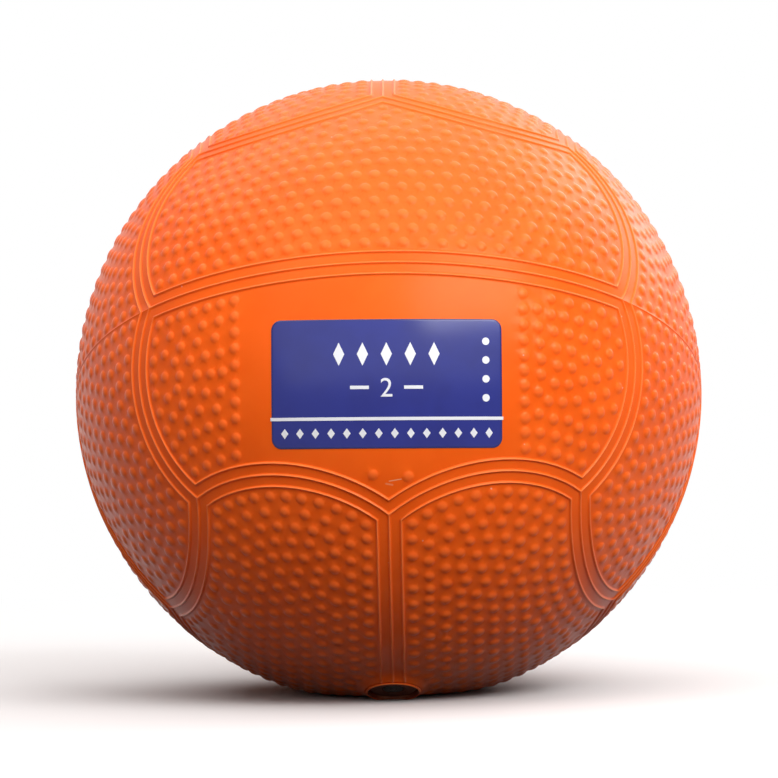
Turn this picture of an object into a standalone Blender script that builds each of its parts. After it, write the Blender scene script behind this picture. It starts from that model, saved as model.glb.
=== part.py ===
"""Soft shot put: a moulded vinyl training ball, part filled with loose iron grit.

The ball is a one-piece skin with twelve panels outlined by raised seam ridges, a filler boss that
is closed by a pressed-in plug with a needle valve, a transfer label and the settled fill.
Lengths are in metres and angles in radians. The origin is the middle of the patch it stands on.
"""

import itertools
import math

import bmesh
import bpy
from mathutils import Matrix, Vector

# Ball
BALL_RADIUS = 0.0750
SKIN_WALL = 0.0045
FOOT_SINK = 0.0027
PATTERN_TILT = math.radians(22.7)
CAVITY_STEPS = 32
SHARP_ANGLE = math.radians(30)

# Seam pattern: a cube blown up to a ball, each face halved by a long seam
LONG_SEAM_HALF_ANGLE = math.radians(46.0)
SEAM_BOW = math.radians(5.9)
RIDGE_WIDTH = 0.0008
RIDGE_HEIGHT = 0.0004
RIDGE_SPACING = 0.0027
SHORT_SEAM_STEPS = 9

# Filler boss, moulded into the skin
BOSS_RIM_RADIUS = 0.0065
BOSS_RIM_HEIGHT = 0.0012
BOSS_LIP_WIDTH = 0.0006
BOSS_FLARE_WIDTH = 0.0048
RECESS_DEPTH = 0.0026
NECK_RADIUS = 0.0064
NECK_LENGTH = 0.0110
NECK_BORE_RADIUS = 0.0040
BOSS_STEPS = 40
LIP_STEPS = 2
FLARE_STEPS = 5

# Plug pressed into the neck
PLUG_FLANGE_THICKNESS = 0.0014
PLUG_BARB_OVERHANG = 0.0008
PLUG_BARB_LENGTH = 0.0030
PLUG_CHAMFER = 0.0003

# Needle valve held in the plug
VALVE_HEAD_RADIUS = 0.0024
VALVE_HEAD_THICKNESS = 0.0010
VALVE_STEM_RADIUS = 0.0015
VALVE_RIB_HEIGHT = 0.0004
VALVE_RIB_LENGTH = 0.0010
VALVE_TAIL_LENGTH = 0.0020
VALVE_TAIL_STEPS = 3
NEEDLE_HOLE_RADIUS = 0.0005
NEEDLE_MOUTH_RADIUS = 0.0010
NEEDLE_HOLE_DEPTH = 0.0080
TURNED_STEPS = 28

# Label on the smooth field of the front panel
LABEL_WIDTH = 0.0524
LABEL_HEIGHT = 0.0289
LABEL_CORNER_RADIUS = 0.0023
LABEL_THICKNESS = 0.0002
LABEL_DROP = math.radians(21.4)
LABEL_COLUMNS = 12
LABEL_ROWS = 8
LABEL_CORNER_STEPS = 4

# Loose fill, settled level
FILL_DEPTH = 0.0648

# Gap left between pieces that touch
CLEARANCE = 0.0003

CAVITY_RADIUS = BALL_RADIUS - SKIN_WALL
CENTRE_HEIGHT = BALL_RADIUS - FOOT_SINK
INNER_FLOOR_HEIGHT = SKIN_WALL
BOSS_RIM_TOP = BALL_RADIUS + BOSS_RIM_HEIGHT
RECESS_RADIUS = BOSS_RIM_RADIUS - BOSS_LIP_WIDTH
RECESS_FLOOR = BOSS_RIM_TOP - RECESS_DEPTH
NECK_END = BALL_RADIUS - NECK_LENGTH
PLUG_FACE = RECESS_FLOOR + CLEARANCE + PLUG_FLANGE_THICKNESS
PLUG_STEM_RADIUS = NECK_BORE_RADIUS - CLEARANCE
PLUG_BARB_RADIUS = NECK_BORE_RADIUS + PLUG_BARB_OVERHANG
PLUG_END = NECK_END - CLEARANCE - PLUG_BARB_LENGTH


def clear_scene():
    """Remove whatever the scene holds before the ball is built."""
    for obj in list(bpy.context.scene.objects):
        bpy.data.objects.remove(obj, do_unlink=True)


def make_material(name, colour, roughness, metallic=0.0):
    """Return a plain material of one colour."""
    material = bpy.data.materials.new(name)
    material.use_nodes = True
    shader = material.node_tree.nodes["Principled BSDF"]
    shader.inputs["Base Color"].default_value = (*colour, 1.0)
    shader.inputs["Roughness"].default_value = roughness
    shader.inputs["Metallic"].default_value = metallic
    material.diffuse_color = (*colour, 1.0)
    return material


def make_empty(name, parent=None, matrix=None):
    """Return an empty that carries other pieces, placed by its matrix in its parent's space."""
    empty = bpy.data.objects.new(name, None)
    bpy.context.scene.collection.objects.link(empty)
    empty.parent = parent
    empty.matrix_local = matrix or Matrix()
    return empty


def make_object(name, mesh_data, material=None, parent=None):
    """Turn a bmesh into a smooth object with sharp edges kept, under its parent."""
    mesh = bpy.data.meshes.new(name)
    bmesh.ops.recalc_face_normals(mesh_data, faces=mesh_data.faces)
    mesh_data.to_mesh(mesh)
    mesh_data.free()
    mesh.shade_smooth()
    mesh.set_sharp_from_angle(angle=SHARP_ANGLE)
    obj = bpy.data.objects.new(name, mesh)
    bpy.context.scene.collection.objects.link(obj)
    obj.parent = parent
    if material:
        mesh.materials.append(material)
    return obj


def make_cutter(name, mesh_data, parent=None):
    """Return an object that only shapes others and is not part of the ball."""
    cutter = make_object(name, mesh_data, parent=parent)
    cutter.hide_render = True
    cutter.display_type = "WIRE"
    return cutter


def add_boolean(obj, cutter, operation):
    """Join or cut an object with another as a live modifier."""
    modifier = obj.modifiers.new(cutter.name, "BOOLEAN")
    modifier.operation = operation
    modifier.object = cutter
    modifier.solver = "EXACT"


def turned(profile, steps, ring=False):
    """Spin a profile of (radius, height) points about Z.

    The profile starts and ends on the axis, or is a closed ring that stays clear of it.
    """
    shape = bmesh.new()
    points = [shape.verts.new((radius, 0.0, height)) for radius, height in profile]
    pairs = list(zip(points, points[1:]))
    if ring:
        pairs.append((points[-1], points[0]))
    edges = [shape.edges.new(pair) for pair in pairs]
    bmesh.ops.spin(
        shape,
        geom=points + edges,
        cent=(0, 0, 0),
        axis=(0, 0, 1),
        angle=math.tau,
        steps=steps,
        use_merge=True,
    )
    bmesh.ops.remove_doubles(shape, verts=shape.verts, dist=1e-6)
    return shape


def small_circle(start, end, centre, bow):
    """Return the plane (normal, distance) of a seam through two corners on the unit ball.

    The seam's middle stands off the straight seam by the bow, away from the panel's centre.
    """
    across = start.cross(end).normalized()
    if across.dot(centre) < 0:
        across.negate()
    straight_middle = (start + end).normalized()
    middle = math.cos(bow) * straight_middle - math.sin(bow) * across
    normal = (end - start).cross(middle - start).normalized()
    if normal.dot(centre) < normal.dot(start):
        normal.negate()
    return normal, normal.dot(start)


def inset(plane, offset):
    """Move a seam's plane into its panel by an angle."""
    normal, distance = plane
    return normal, math.sin(math.asin(distance) + offset)


def mitre(first, second, near):
    """Return the point of the unit ball where two seams cross, close to a given corner."""
    normal_1, distance_1 = first
    normal_2, distance_2 = second
    lean = normal_1.dot(normal_2)
    spread = 1.0 - lean * lean
    part_1 = (distance_1 - lean * distance_2) / spread
    part_2 = (distance_2 - lean * distance_1) / spread
    base = part_1 * normal_1 + part_2 * normal_2
    rise = math.sqrt((1.0 - base.length_squared) / spread) * normal_1.cross(normal_2)
    if rise.dot(near) < 0:
        rise.negate()
    return base + rise


def arc_points(start, end, plane, steps):
    """Return evenly spaced points of the unit ball along a seam, without its end."""
    normal, distance = plane
    middle = normal * distance
    out = start - middle
    side = normal.cross(out)
    turn = math.atan2((end - middle).dot(side), (end - middle).dot(out))
    angles = (turn * step / steps for step in range(steps))
    return [middle + math.cos(angle) * out + math.sin(angle) * side for angle in angles]


class Panel:
    """One of the twelve panels, worked out in its own axes.

    Local X runs along the panel's long seam, Y points out through that seam's middle and Z runs
    across the panel to the corner that faces the long seam.
    """

    def __init__(self):
        half = LONG_SEAM_HALF_ANGLE
        cube = 1.0 / math.sqrt(3.0)
        self.corners = [
            Vector((-math.sin(half), math.cos(half), 0.0)),
            Vector((math.sin(half), math.cos(half), 0.0)),
            Vector((cube, cube, cube)),
            Vector((0.0, math.sin(half), math.cos(half))),
            Vector((-cube, cube, cube)),
        ]
        middle = (math.pi / 2 - half) / 2
        centre = Vector((0.0, math.cos(middle), math.sin(middle)))
        bows = [0.0, SEAM_BOW, -SEAM_BOW, -SEAM_BOW, SEAM_BOW]
        self.steps = [2 * SHORT_SEAM_STEPS] + [SHORT_SEAM_STEPS] * 4
        following = self.corners[1:] + self.corners[:1]
        self.planes = [
            small_circle(start, end, centre, bow)
            for start, end, bow in zip(self.corners, following, bows)
        ]

    def outline(self, offset):
        """Return the loop of unit points that runs inside the seams at an offset in metres."""
        planes = [inset(plane, offset / BALL_RADIUS) for plane in self.planes]
        corners = [
            mitre(planes[index - 1], planes[index], corner)
            for index, corner in enumerate(self.corners)
        ]
        loop = []
        for index, plane in enumerate(planes):
            following = corners[(index + 1) % len(corners)]
            loop += arc_points(corners[index], following, plane, self.steps[index])
        return loop

    def field(self, loop):
        """Fill an outline with rows of unit points that run from the long seam to its far side."""
        across = SHORT_SEAM_STEPS
        along = 2 * across
        near = loop[: along + 1]
        right = loop[along : along + across + 1]
        far = loop[along + across : 2 * along + across + 1][::-1]
        left = [loop[0]] + loop[2 * along + across :][::-1]
        rows = []
        for row in range(across + 1):
            down = row / across
            points = []
            for column in range(along + 1):
                over = column / along
                point = (1 - down) * near[column] + down * far[column]
                point += (1 - over) * left[row] + over * right[row]
                point -= (1 - down) * ((1 - over) * near[0] + over * near[-1])
                point -= down * ((1 - over) * far[0] + over * far[-1])
                points.append(point.normalized())
            rows.append(points)
        return rows


def panel_turns():
    """Yield the matrices that carry the worked-out panel to each of its twelve places."""
    axes = [Vector((1, 0, 0)), Vector((0, 1, 0)), Vector((0, 0, 1))]
    for face, sign, side in itertools.product(range(3), (1, -1), (1, -1)):
        along = axes[(face + 2) % 3]
        outward = axes[face] * sign
        across = axes[(face + 1) % 3] * side
        yield Matrix((along, outward, across)).transposed()


def ridge_rows():
    """Return the (offset, height) rows that shape a border ridge and the ridge inside it."""
    half = RIDGE_WIDTH / 2
    return [
        (0.0, RIDGE_HEIGHT),
        (half, 0.0),
        (RIDGE_SPACING - half, 0.0),
        (RIDGE_SPACING, RIDGE_HEIGHT),
        (RIDGE_SPACING + half, 0.0),
    ]


def seamed_ball():
    """Return the outer surface: twelve panels with mitred ridges along every seam."""
    panel = Panel()
    rows = [(panel.outline(offset), BALL_RADIUS + height) for offset, height in ridge_rows()]
    field = panel.field(rows[-1][0])
    shape = bmesh.new()
    for turn in panel_turns():
        loops = []
        for loop, radius in rows:
            loops.append([shape.verts.new(turn @ point * radius) for point in loop])
        for outer, inner in zip(loops, loops[1:]):
            for index in range(len(outer)):
                shape.faces.new((outer[index - 1], outer[index], inner[index], inner[index - 1]))
        grid = [[shape.verts.new(turn @ point * BALL_RADIUS) for point in row] for row in field]
        for near, far in zip(grid, grid[1:]):
            for index in range(len(near) - 1):
                shape.faces.new((near[index], near[index + 1], far[index + 1], far[index]))
    bmesh.ops.remove_doubles(shape, verts=shape.verts, dist=1e-6)
    return shape


def cut_below(shape, height):
    """Cut a shape off flat below a height and close the cut."""
    cut_level(shape, height, Vector((0, 0, -1)))


def cut_above(shape, height):
    """Cut a shape off flat above a height and close the cut."""
    cut_level(shape, height, Vector((0, 0, 1)))


def cut_level(shape, height, away):
    """Remove what lies beyond a level plane, on the side that away points to, and close it."""
    everything = list(shape.verts) + list(shape.edges) + list(shape.faces)
    cut = bmesh.ops.bisect_plane(
        shape,
        geom=everything,
        dist=1e-7,
        plane_co=(0, 0, height),
        plane_no=away,
        clear_outer=True,
    )
    rim = [item for item in cut["geom_cut"] if isinstance(item, bmesh.types.BMEdge)]
    bmesh.ops.contextual_create(shape, geom=rim)


def hollow_ball(radius, foot_height):
    """Return a plain ball about the centre of the skin, cut flat at the foot."""
    shape = bmesh.new()
    bmesh.ops.create_uvsphere(
        shape,
        u_segments=CAVITY_STEPS,
        v_segments=CAVITY_STEPS // 2,
        radius=radius,
        matrix=Matrix.Translation((0, 0, CENTRE_HEIGHT)),
    )
    cut_below(shape, foot_height)
    return shape


def quarter_round(corner, radius, steps):
    """Return the (radius, height) points of a rounded top corner, from its top to its side."""
    reach, height = corner
    points = []
    for step in range(steps + 1):
        angle = math.pi / 2 * step / steps
        points.append(
            (reach - radius * (1 - math.sin(angle)), height - radius * (1 - math.cos(angle)))
        )
    return points


def boss_profile():
    """Return the outline of the boss and its neck: a flared foot, a rounded lip and the neck."""
    root = BALL_RADIUS - SKIN_WALL / 2
    lip = BOSS_LIP_WIDTH / 2
    rim_rise = BOSS_RIM_TOP - lip - math.sqrt(BALL_RADIUS**2 - BOSS_RIM_RADIUS**2)
    profile = [(0.0, BOSS_RIM_TOP)]
    profile += quarter_round((BOSS_RIM_RADIUS, BOSS_RIM_TOP), lip, LIP_STEPS)
    for step in range(1, FLARE_STEPS + 1):
        share = step / FLARE_STEPS
        radius = BOSS_RIM_RADIUS + BOSS_FLARE_WIDTH * share
        surface = math.sqrt(BALL_RADIUS**2 - radius**2)
        profile.append((radius, surface + rim_rise * (1 - share) ** 2 - CLEARANCE * share))
    foot_radius = BOSS_RIM_RADIUS + BOSS_FLARE_WIDTH
    profile += [(foot_radius, root), (NECK_RADIUS, root), (NECK_RADIUS, NECK_END), (0.0, NECK_END)]
    return profile


def bore_profile():
    """Return the outline cut out of the boss: the plug's recess and the bore behind it."""
    return [
        (0.0, BOSS_RIM_TOP + RECESS_DEPTH),
        (RECESS_RADIUS, BOSS_RIM_TOP + RECESS_DEPTH),
        (RECESS_RADIUS, RECESS_FLOOR),
        (NECK_BORE_RADIUS, RECESS_FLOOR),
        (NECK_BORE_RADIUS, NECK_END - RECESS_DEPTH),
        (0.0, NECK_END - RECESS_DEPTH),
    ]


def make_floor_form():
    """Return the block of floor that presses the foot and the edge of the boss flat."""
    shape = bmesh.new()
    below = Matrix.Translation((0, 0, -2 * BALL_RADIUS))
    bmesh.ops.create_cube(shape, size=4 * BALL_RADIUS, matrix=below)
    return make_cutter("floor_form", shape)


def make_skin(ball, boss_axis, material):
    """Build the moulded skin with its ridges, cavity, filler boss and flat foot."""
    outside = seamed_ball()
    outside.transform(ball.matrix_world)
    skin = make_object("skin", outside, material)
    cavity = make_cutter("cavity_form", hollow_ball(CAVITY_RADIUS, INNER_FLOOR_HEIGHT))
    boss = make_cutter("boss_form", turned(boss_profile(), BOSS_STEPS), boss_axis)
    bore = make_cutter("bore_form", turned(bore_profile(), BOSS_STEPS), boss_axis)
    add_boolean(skin, cavity, "DIFFERENCE")
    add_boolean(skin, boss, "UNION")
    add_boolean(skin, bore, "DIFFERENCE")
    add_boolean(skin, make_floor_form(), "DIFFERENCE")
    return skin


def rib_middle():
    """Return the height of the valve's rib, half way down the plug."""
    return (PLUG_FACE + PLUG_END) / 2


def make_plug(boss_axis, material):
    """Build the plug: a flange in the recess, a stem in the neck and a barb behind it."""
    flange_radius = RECESS_RADIUS - CLEARANCE
    flange_foot = PLUG_FACE - PLUG_FLANGE_THICKNESS
    seat_radius = VALVE_HEAD_RADIUS + CLEARANCE
    seat_floor = PLUG_FACE - VALVE_HEAD_THICKNESS - CLEARANCE
    bore = VALVE_STEM_RADIUS + CLEARANCE
    groove = VALVE_STEM_RADIUS + VALVE_RIB_HEIGHT + CLEARANCE
    groove_half = VALVE_RIB_LENGTH / 2 + CLEARANCE
    barb_top = NECK_END - CLEARANCE
    profile = [
        (seat_radius, PLUG_FACE),
        (flange_radius - PLUG_CHAMFER, PLUG_FACE),
        (flange_radius, PLUG_FACE - PLUG_CHAMFER),
        (flange_radius, flange_foot),
        (PLUG_STEM_RADIUS, flange_foot),
        (PLUG_STEM_RADIUS, barb_top),
        (PLUG_BARB_RADIUS, barb_top),
        (PLUG_BARB_RADIUS, barb_top - PLUG_CHAMFER),
        (PLUG_STEM_RADIUS - PLUG_CHAMFER, PLUG_END),
        (bore, PLUG_END),
        (bore, rib_middle() - groove_half),
        (groove, rib_middle() - groove_half),
        (groove, rib_middle() + groove_half),
        (bore, rib_middle() + groove_half),
        (bore, seat_floor),
        (seat_radius, seat_floor),
    ]
    return make_object("filler_plug", turned(profile, TURNED_STEPS, ring=True), material, boss_axis)


def make_valve(boss_axis, material):
    """Build the needle valve: a head flush with the plug, a ribbed stem and a rounded tail."""
    head_foot = PLUG_FACE - VALVE_HEAD_THICKNESS
    rib_radius = VALVE_STEM_RADIUS + VALVE_RIB_HEIGHT
    rib_half = VALVE_RIB_LENGTH / 2
    tail_end = PLUG_END - VALVE_TAIL_LENGTH
    profile = [
        (0.0, PLUG_FACE - NEEDLE_HOLE_DEPTH),
        (NEEDLE_HOLE_RADIUS, PLUG_FACE - NEEDLE_HOLE_DEPTH),
        (NEEDLE_HOLE_RADIUS, PLUG_FACE - NEEDLE_MOUTH_RADIUS),
        (NEEDLE_MOUTH_RADIUS, PLUG_FACE),
        (VALVE_HEAD_RADIUS, PLUG_FACE),
        (VALVE_HEAD_RADIUS, head_foot),
        (VALVE_STEM_RADIUS, head_foot),
        (VALVE_STEM_RADIUS, rib_middle() + rib_half),
        (rib_radius, rib_middle() + rib_half),
        (rib_radius, rib_middle() - rib_half),
        (VALVE_STEM_RADIUS, rib_middle() - rib_half),
    ]
    for step in range(VALVE_TAIL_STEPS + 1):
        angle = math.pi / 2 * step / VALVE_TAIL_STEPS
        rise = VALVE_STEM_RADIUS * (1 - math.sin(angle))
        profile.append((VALVE_STEM_RADIUS * math.cos(angle), tail_end + rise))
    return make_object("needle_valve", turned(profile, TURNED_STEPS), material, boss_axis)


def label_columns():
    """Return the (place, half height) of each column of the label, its corners rounded."""
    straight = LABEL_WIDTH / 2 - LABEL_CORNER_RADIUS
    columns = []
    for step in range(LABEL_COLUMNS + 1):
        columns.append((straight * (2 * step / LABEL_COLUMNS - 1), LABEL_HEIGHT / 2))
    for step in range(1, LABEL_CORNER_STEPS + 1):
        angle = math.pi / 2 * step / LABEL_CORNER_STEPS
        reach = straight + LABEL_CORNER_RADIUS * math.sin(angle)
        half = LABEL_HEIGHT / 2 - LABEL_CORNER_RADIUS * (1 - math.cos(angle))
        columns.append((reach, half))
        columns.insert(0, (-reach, half))
    return columns


def label_point(across, up, radius):
    """Return the point of a ball at arc lengths from the label's middle, in the pattern's axes."""
    side = math.sin(across / BALL_RADIUS)
    rise = math.sin(up / BALL_RADIUS)
    facing = Vector((side, -math.sqrt(1.0 - side * side - rise * rise), rise))
    return Matrix.Rotation(LABEL_DROP, 3, "X") @ facing * radius


def make_label(ball, material):
    """Build the transfer label as a thin curved sheet that lies on the front panel."""
    shape = bmesh.new()
    inner_radius = BALL_RADIUS + CLEARANCE
    outer_radius = inner_radius + LABEL_THICKNESS
    sheets = []
    for radius in (inner_radius, outer_radius):
        columns = []
        for across, half in label_columns():
            rises = (half * (2 * row / LABEL_ROWS - 1) for row in range(LABEL_ROWS + 1))
            columns.append([shape.verts.new(label_point(across, up, radius)) for up in rises])
        sheets.append(columns)
        for left, right in zip(columns, columns[1:]):
            for row in range(LABEL_ROWS):
                shape.faces.new((left[row], right[row], right[row + 1], left[row + 1]))
    rims = []
    for columns in sheets:
        bottom = [column[0] for column in columns]
        top = [column[-1] for column in columns]
        rims.append(bottom + columns[-1][1:-1] + top[::-1] + columns[0][1:-1][::-1])
    for index in range(len(rims[0])):
        shape.faces.new((rims[0][index - 1], rims[0][index], rims[1][index], rims[1][index - 1]))
    return make_object("label_film", shape, material, ball)


def make_fill(boss_axis, material):
    """Build the settled fill: level on top, clear of the skin, the neck and the plug."""
    shape = hollow_ball(CAVITY_RADIUS - CLEARANCE, INNER_FLOOR_HEIGHT + CLEARANCE)
    cut_above(shape, INNER_FLOOR_HEIGHT + FILL_DEPTH)
    fill = make_object("settled_fill", shape, material)
    tail_end = PLUG_END - VALVE_TAIL_LENGTH
    neck_room = [
        (0.0, BALL_RADIUS),
        (NECK_RADIUS + CLEARANCE, BALL_RADIUS),
        (NECK_RADIUS + CLEARANCE, NECK_END - CLEARANCE),
        (PLUG_BARB_RADIUS + CLEARANCE, tail_end - CLEARANCE),
        (0.0, tail_end - CLEARANCE),
    ]
    room = make_cutter("neck_room_form", turned(neck_room, TURNED_STEPS), boss_axis)
    add_boolean(fill, room, "DIFFERENCE")
    return fill


def main():
    """Build every piece of the ball in its place."""
    clear_scene()
    orange_vinyl = make_material("orange_vinyl", (0.86, 0.21, 0.03), 0.30)
    plug_vinyl = make_material("plug_vinyl", (0.16, 0.04, 0.02), 0.45)
    valve_rubber = make_material("valve_rubber", (0.03, 0.02, 0.02), 0.60)
    label_ink = make_material("label_ink", (0.02, 0.03, 0.21), 0.25)
    iron_grit = make_material("iron_grit", (0.12, 0.11, 0.10), 0.85)

    tilt = Matrix.Translation((0, 0, CENTRE_HEIGHT)) @ Matrix.Rotation(-PATTERN_TILT, 4, "X")
    ball = make_empty("ball_axes", matrix=tilt)
    boss_axis = make_empty("boss_axis", ball, Matrix.Rotation(math.pi, 4, "X"))
    bpy.context.view_layer.update()

    make_skin(ball, boss_axis, orange_vinyl)
    make_plug(boss_axis, plug_vinyl)
    make_valve(boss_axis, valve_rubber)
    make_label(ball, label_ink)
    make_fill(boss_axis, iron_grit)


main()
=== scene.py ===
"""Looks of the soft shot put: a pebbled vinyl ball with ridged seams, a filler boss and a label.

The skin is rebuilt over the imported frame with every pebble, ridge and parting line as geometry,
the label is a printed film on its smooth field, and the pieces inside get their own finishes.
Lengths are in metres and angles in radians, unless a note gives another unit. The frame's
origin is the middle of the foot.
"""

import logging
import math
from dataclasses import dataclass, field
from enum import Enum

import bmesh
import bpy
import numpy as np
from mathutils import Matrix, Vector
from mathutils.geometry import delaunay_2d_cdt


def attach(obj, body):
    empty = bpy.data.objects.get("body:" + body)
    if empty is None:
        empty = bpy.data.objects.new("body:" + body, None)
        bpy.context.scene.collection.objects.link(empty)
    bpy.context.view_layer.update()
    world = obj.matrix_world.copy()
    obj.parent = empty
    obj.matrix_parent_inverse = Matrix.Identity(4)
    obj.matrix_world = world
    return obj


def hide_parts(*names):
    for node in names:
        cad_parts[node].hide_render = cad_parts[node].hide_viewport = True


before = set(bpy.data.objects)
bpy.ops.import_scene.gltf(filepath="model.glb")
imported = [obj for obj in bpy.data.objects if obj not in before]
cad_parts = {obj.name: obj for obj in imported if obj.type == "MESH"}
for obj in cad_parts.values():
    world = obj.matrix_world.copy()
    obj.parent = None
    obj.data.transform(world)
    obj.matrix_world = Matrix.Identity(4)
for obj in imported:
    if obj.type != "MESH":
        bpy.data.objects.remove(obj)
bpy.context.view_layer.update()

LOG = logging.getLogger("soft_shot")
MM = 0.001
BODY = "root"
BAKE_MAP = "OFBake"
# Point attribute on the skin: above 0 a painted highlight, below 0 painted shade.
PAINTED_LIGHT_ATTRIBUTE = "painted_light"
EDGE = "edge"
FACE_BOWS = (math.radians(5.0), math.radians(5.1), math.radians(6.7))
PARTED_FACE = 0
BOSSED_FACE = (2, -1)
LABELLED_PLACE = (1, -1, -1)
RIGHT = np.array((1.0, 0.0, 0.0))
HALF_BALL_REACH = 1.4
HALF_BALL_SQUARE = 2.0
FLAT_TOLERANCE = 1e-9
FIGURE_JOIN = 1e-7
DOT_SIDES = 16
SHARP_ANGLE = math.radians(40.0)
SCRATCH_EDGES = (1.0, 0.4)
MIX_COLOURS = (6, 7)
MIX_RESULT = 2
BLACK = (0.0, 0.0, 0.0, 1.0)
WHITE = (1.0, 1.0, 1.0, 1.0)

Seam = tuple[np.ndarray, float]
Fill = tuple[np.ndarray, np.ndarray]


def unit(vectors: np.ndarray) -> np.ndarray:
    """Return the vectors scaled to length one."""
    return vectors / np.linalg.norm(vectors, axis=-1, keepdims=True)


def chart_of(points: np.ndarray, centre: np.ndarray) -> np.ndarray:
    """Lay unit points out flat about a centre, with RIGHT as first axis, keeping circles round.

    Args:
        points: Points of the unit ball.
        centre: The unit point, square to RIGHT, that becomes the chart's middle.

    Returns:
        The flat coordinates, one row for each point.
    """
    above = np.cross(centre, RIGHT)
    scale = 2.0 / (1.0 + points @ centre)
    return np.stack([points @ RIGHT * scale, points @ above * scale], axis=1)


def aside(flat: np.ndarray, centre: np.ndarray) -> np.ndarray:
    """Return flat coordinates as directions along RIGHT and square to it and a centre."""
    return flat[:, :1] * RIGHT + flat[:, 1:] * np.cross(centre, RIGHT)


def ball_of(flat: np.ndarray, centre: np.ndarray) -> np.ndarray:
    """Carry the flat coordinates that chart_of gave back to the unit ball."""
    square = (flat**2).sum(1, keepdims=True) / 4.0
    return (aside(flat, centre) + (1.0 - square) * centre) / (1.0 + square)


def even_grid(pitch: float, centre: np.ndarray) -> np.ndarray:
    """Return a triangular grid of equal spacing over the half of the unit ball about a centre.

    Args:
        pitch: The grid's spacing as a share of the ball's radius.
        centre: The unit point, square to RIGHT, in the grid's middle.

    Returns:
        Unit points, one for each place of the grid.
    """
    count = int(HALF_BALL_REACH / pitch)
    columns, rows = np.meshgrid(np.arange(-count, count + 1), np.arange(-count, count + 1))
    flat = np.stack([columns + 0.5 * (rows % 2), rows * math.sqrt(0.75)], axis=-1).reshape(-1, 2) * pitch
    square = (flat**2).sum(1)
    flat, square = flat[square < HALF_BALL_SQUARE], square[square < HALF_BALL_SQUARE, None]
    return aside(flat, centre) * np.sqrt(1.0 - square / 4.0) + (1.0 - square / 2.0) * centre


def along_ball(points: np.ndarray, goals: np.ndarray) -> np.ndarray:
    """Return, for each unit point, the unit direction along the ball's surface towards a goal."""
    return unit(goals - (points * goals).sum(1, keepdims=True) * points)


def triangulate(flat: np.ndarray, edges: list[tuple[int, int]]) -> Fill:
    """Join flat points by triangles out to their convex outline.

    Args:
        flat: Flat coordinates of the points.
        edges: Pairs of points that triangles may not cross.

    Returns:
        The flat coordinates used, with crossings of edges added, and the triangles.
    """
    points = [Vector(pair) for pair in flat.tolist()]
    found = delaunay_2d_cdt(points, edges, [], 1, FLAT_TOLERANCE, False)
    places = np.array([tuple(point) for point in found[0]])
    triangles = np.array(found[2])
    corners = places[triangles]
    first, second = corners[:, 1] - corners[:, 0], corners[:, 2] - corners[:, 0]
    area = first[:, 0] * second[:, 1] - first[:, 1] * second[:, 0]
    triangles[area < 0] = triangles[area < 0][:, ::-1]
    return places, triangles


def ring_edges(start: int, count: int) -> list[tuple[int, int]]:
    """Return the edges of a closed ring of consecutive points."""
    return [(start + index, start + (index + 1) % count) for index in range(count)]


def new_object(name: str, data: bpy.types.ID) -> bpy.types.Object:
    """Make an object of some data and link it to the scene.

    Args:
        name: The object's name.
        data: The mesh, curve, lamp or camera that it holds.

    Returns:
        The linked object.
    """
    made = bpy.data.objects.new(name, data)
    bpy.context.scene.collection.objects.link(made)
    return made


@dataclass(frozen=True)
class Ball:
    """The ball's size and the way its seam pattern is turned in the frame."""

    radius: float = 75.0 * MM
    foot_sink: float = 2.7 * MM
    pattern_tilt: float = math.radians(22.7)
    skin_wall: float = 4.5 * MM
    foot_softness: float = 0.9 * MM
    boss_softness: float = 0.08 * MM

    @property
    def centre(self) -> Vector:
        """Return the middle of the ball."""
        return Vector((0.0, 0.0, self.radius - self.foot_sink))

    def placed(self, points: np.ndarray) -> np.ndarray:
        """Turn points from the pattern's axes to the frame's."""
        turn = np.array(Matrix.Rotation(-self.pattern_tilt, 3, "X"))
        return points @ turn.T + np.array(self.centre)

    def settled(
        self, points: np.ndarray, softness: float | np.ndarray, level: float | np.ndarray = 0.0
    ) -> np.ndarray:
        """Press points up where they would lie below a level, with a soft bend round the patch.

        Args:
            points: Points in the frame.
            softness: How widely the bend spreads, one for all points or one for each.
            level: Height of the flat patch, one for all points or one for each.

        Returns:
            The moved points.
        """
        moved = points.copy()
        over = (points[:, 2] - level) / softness
        moved[:, 2] = level + softness * np.logaddexp(0.0, over)
        return moved


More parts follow.
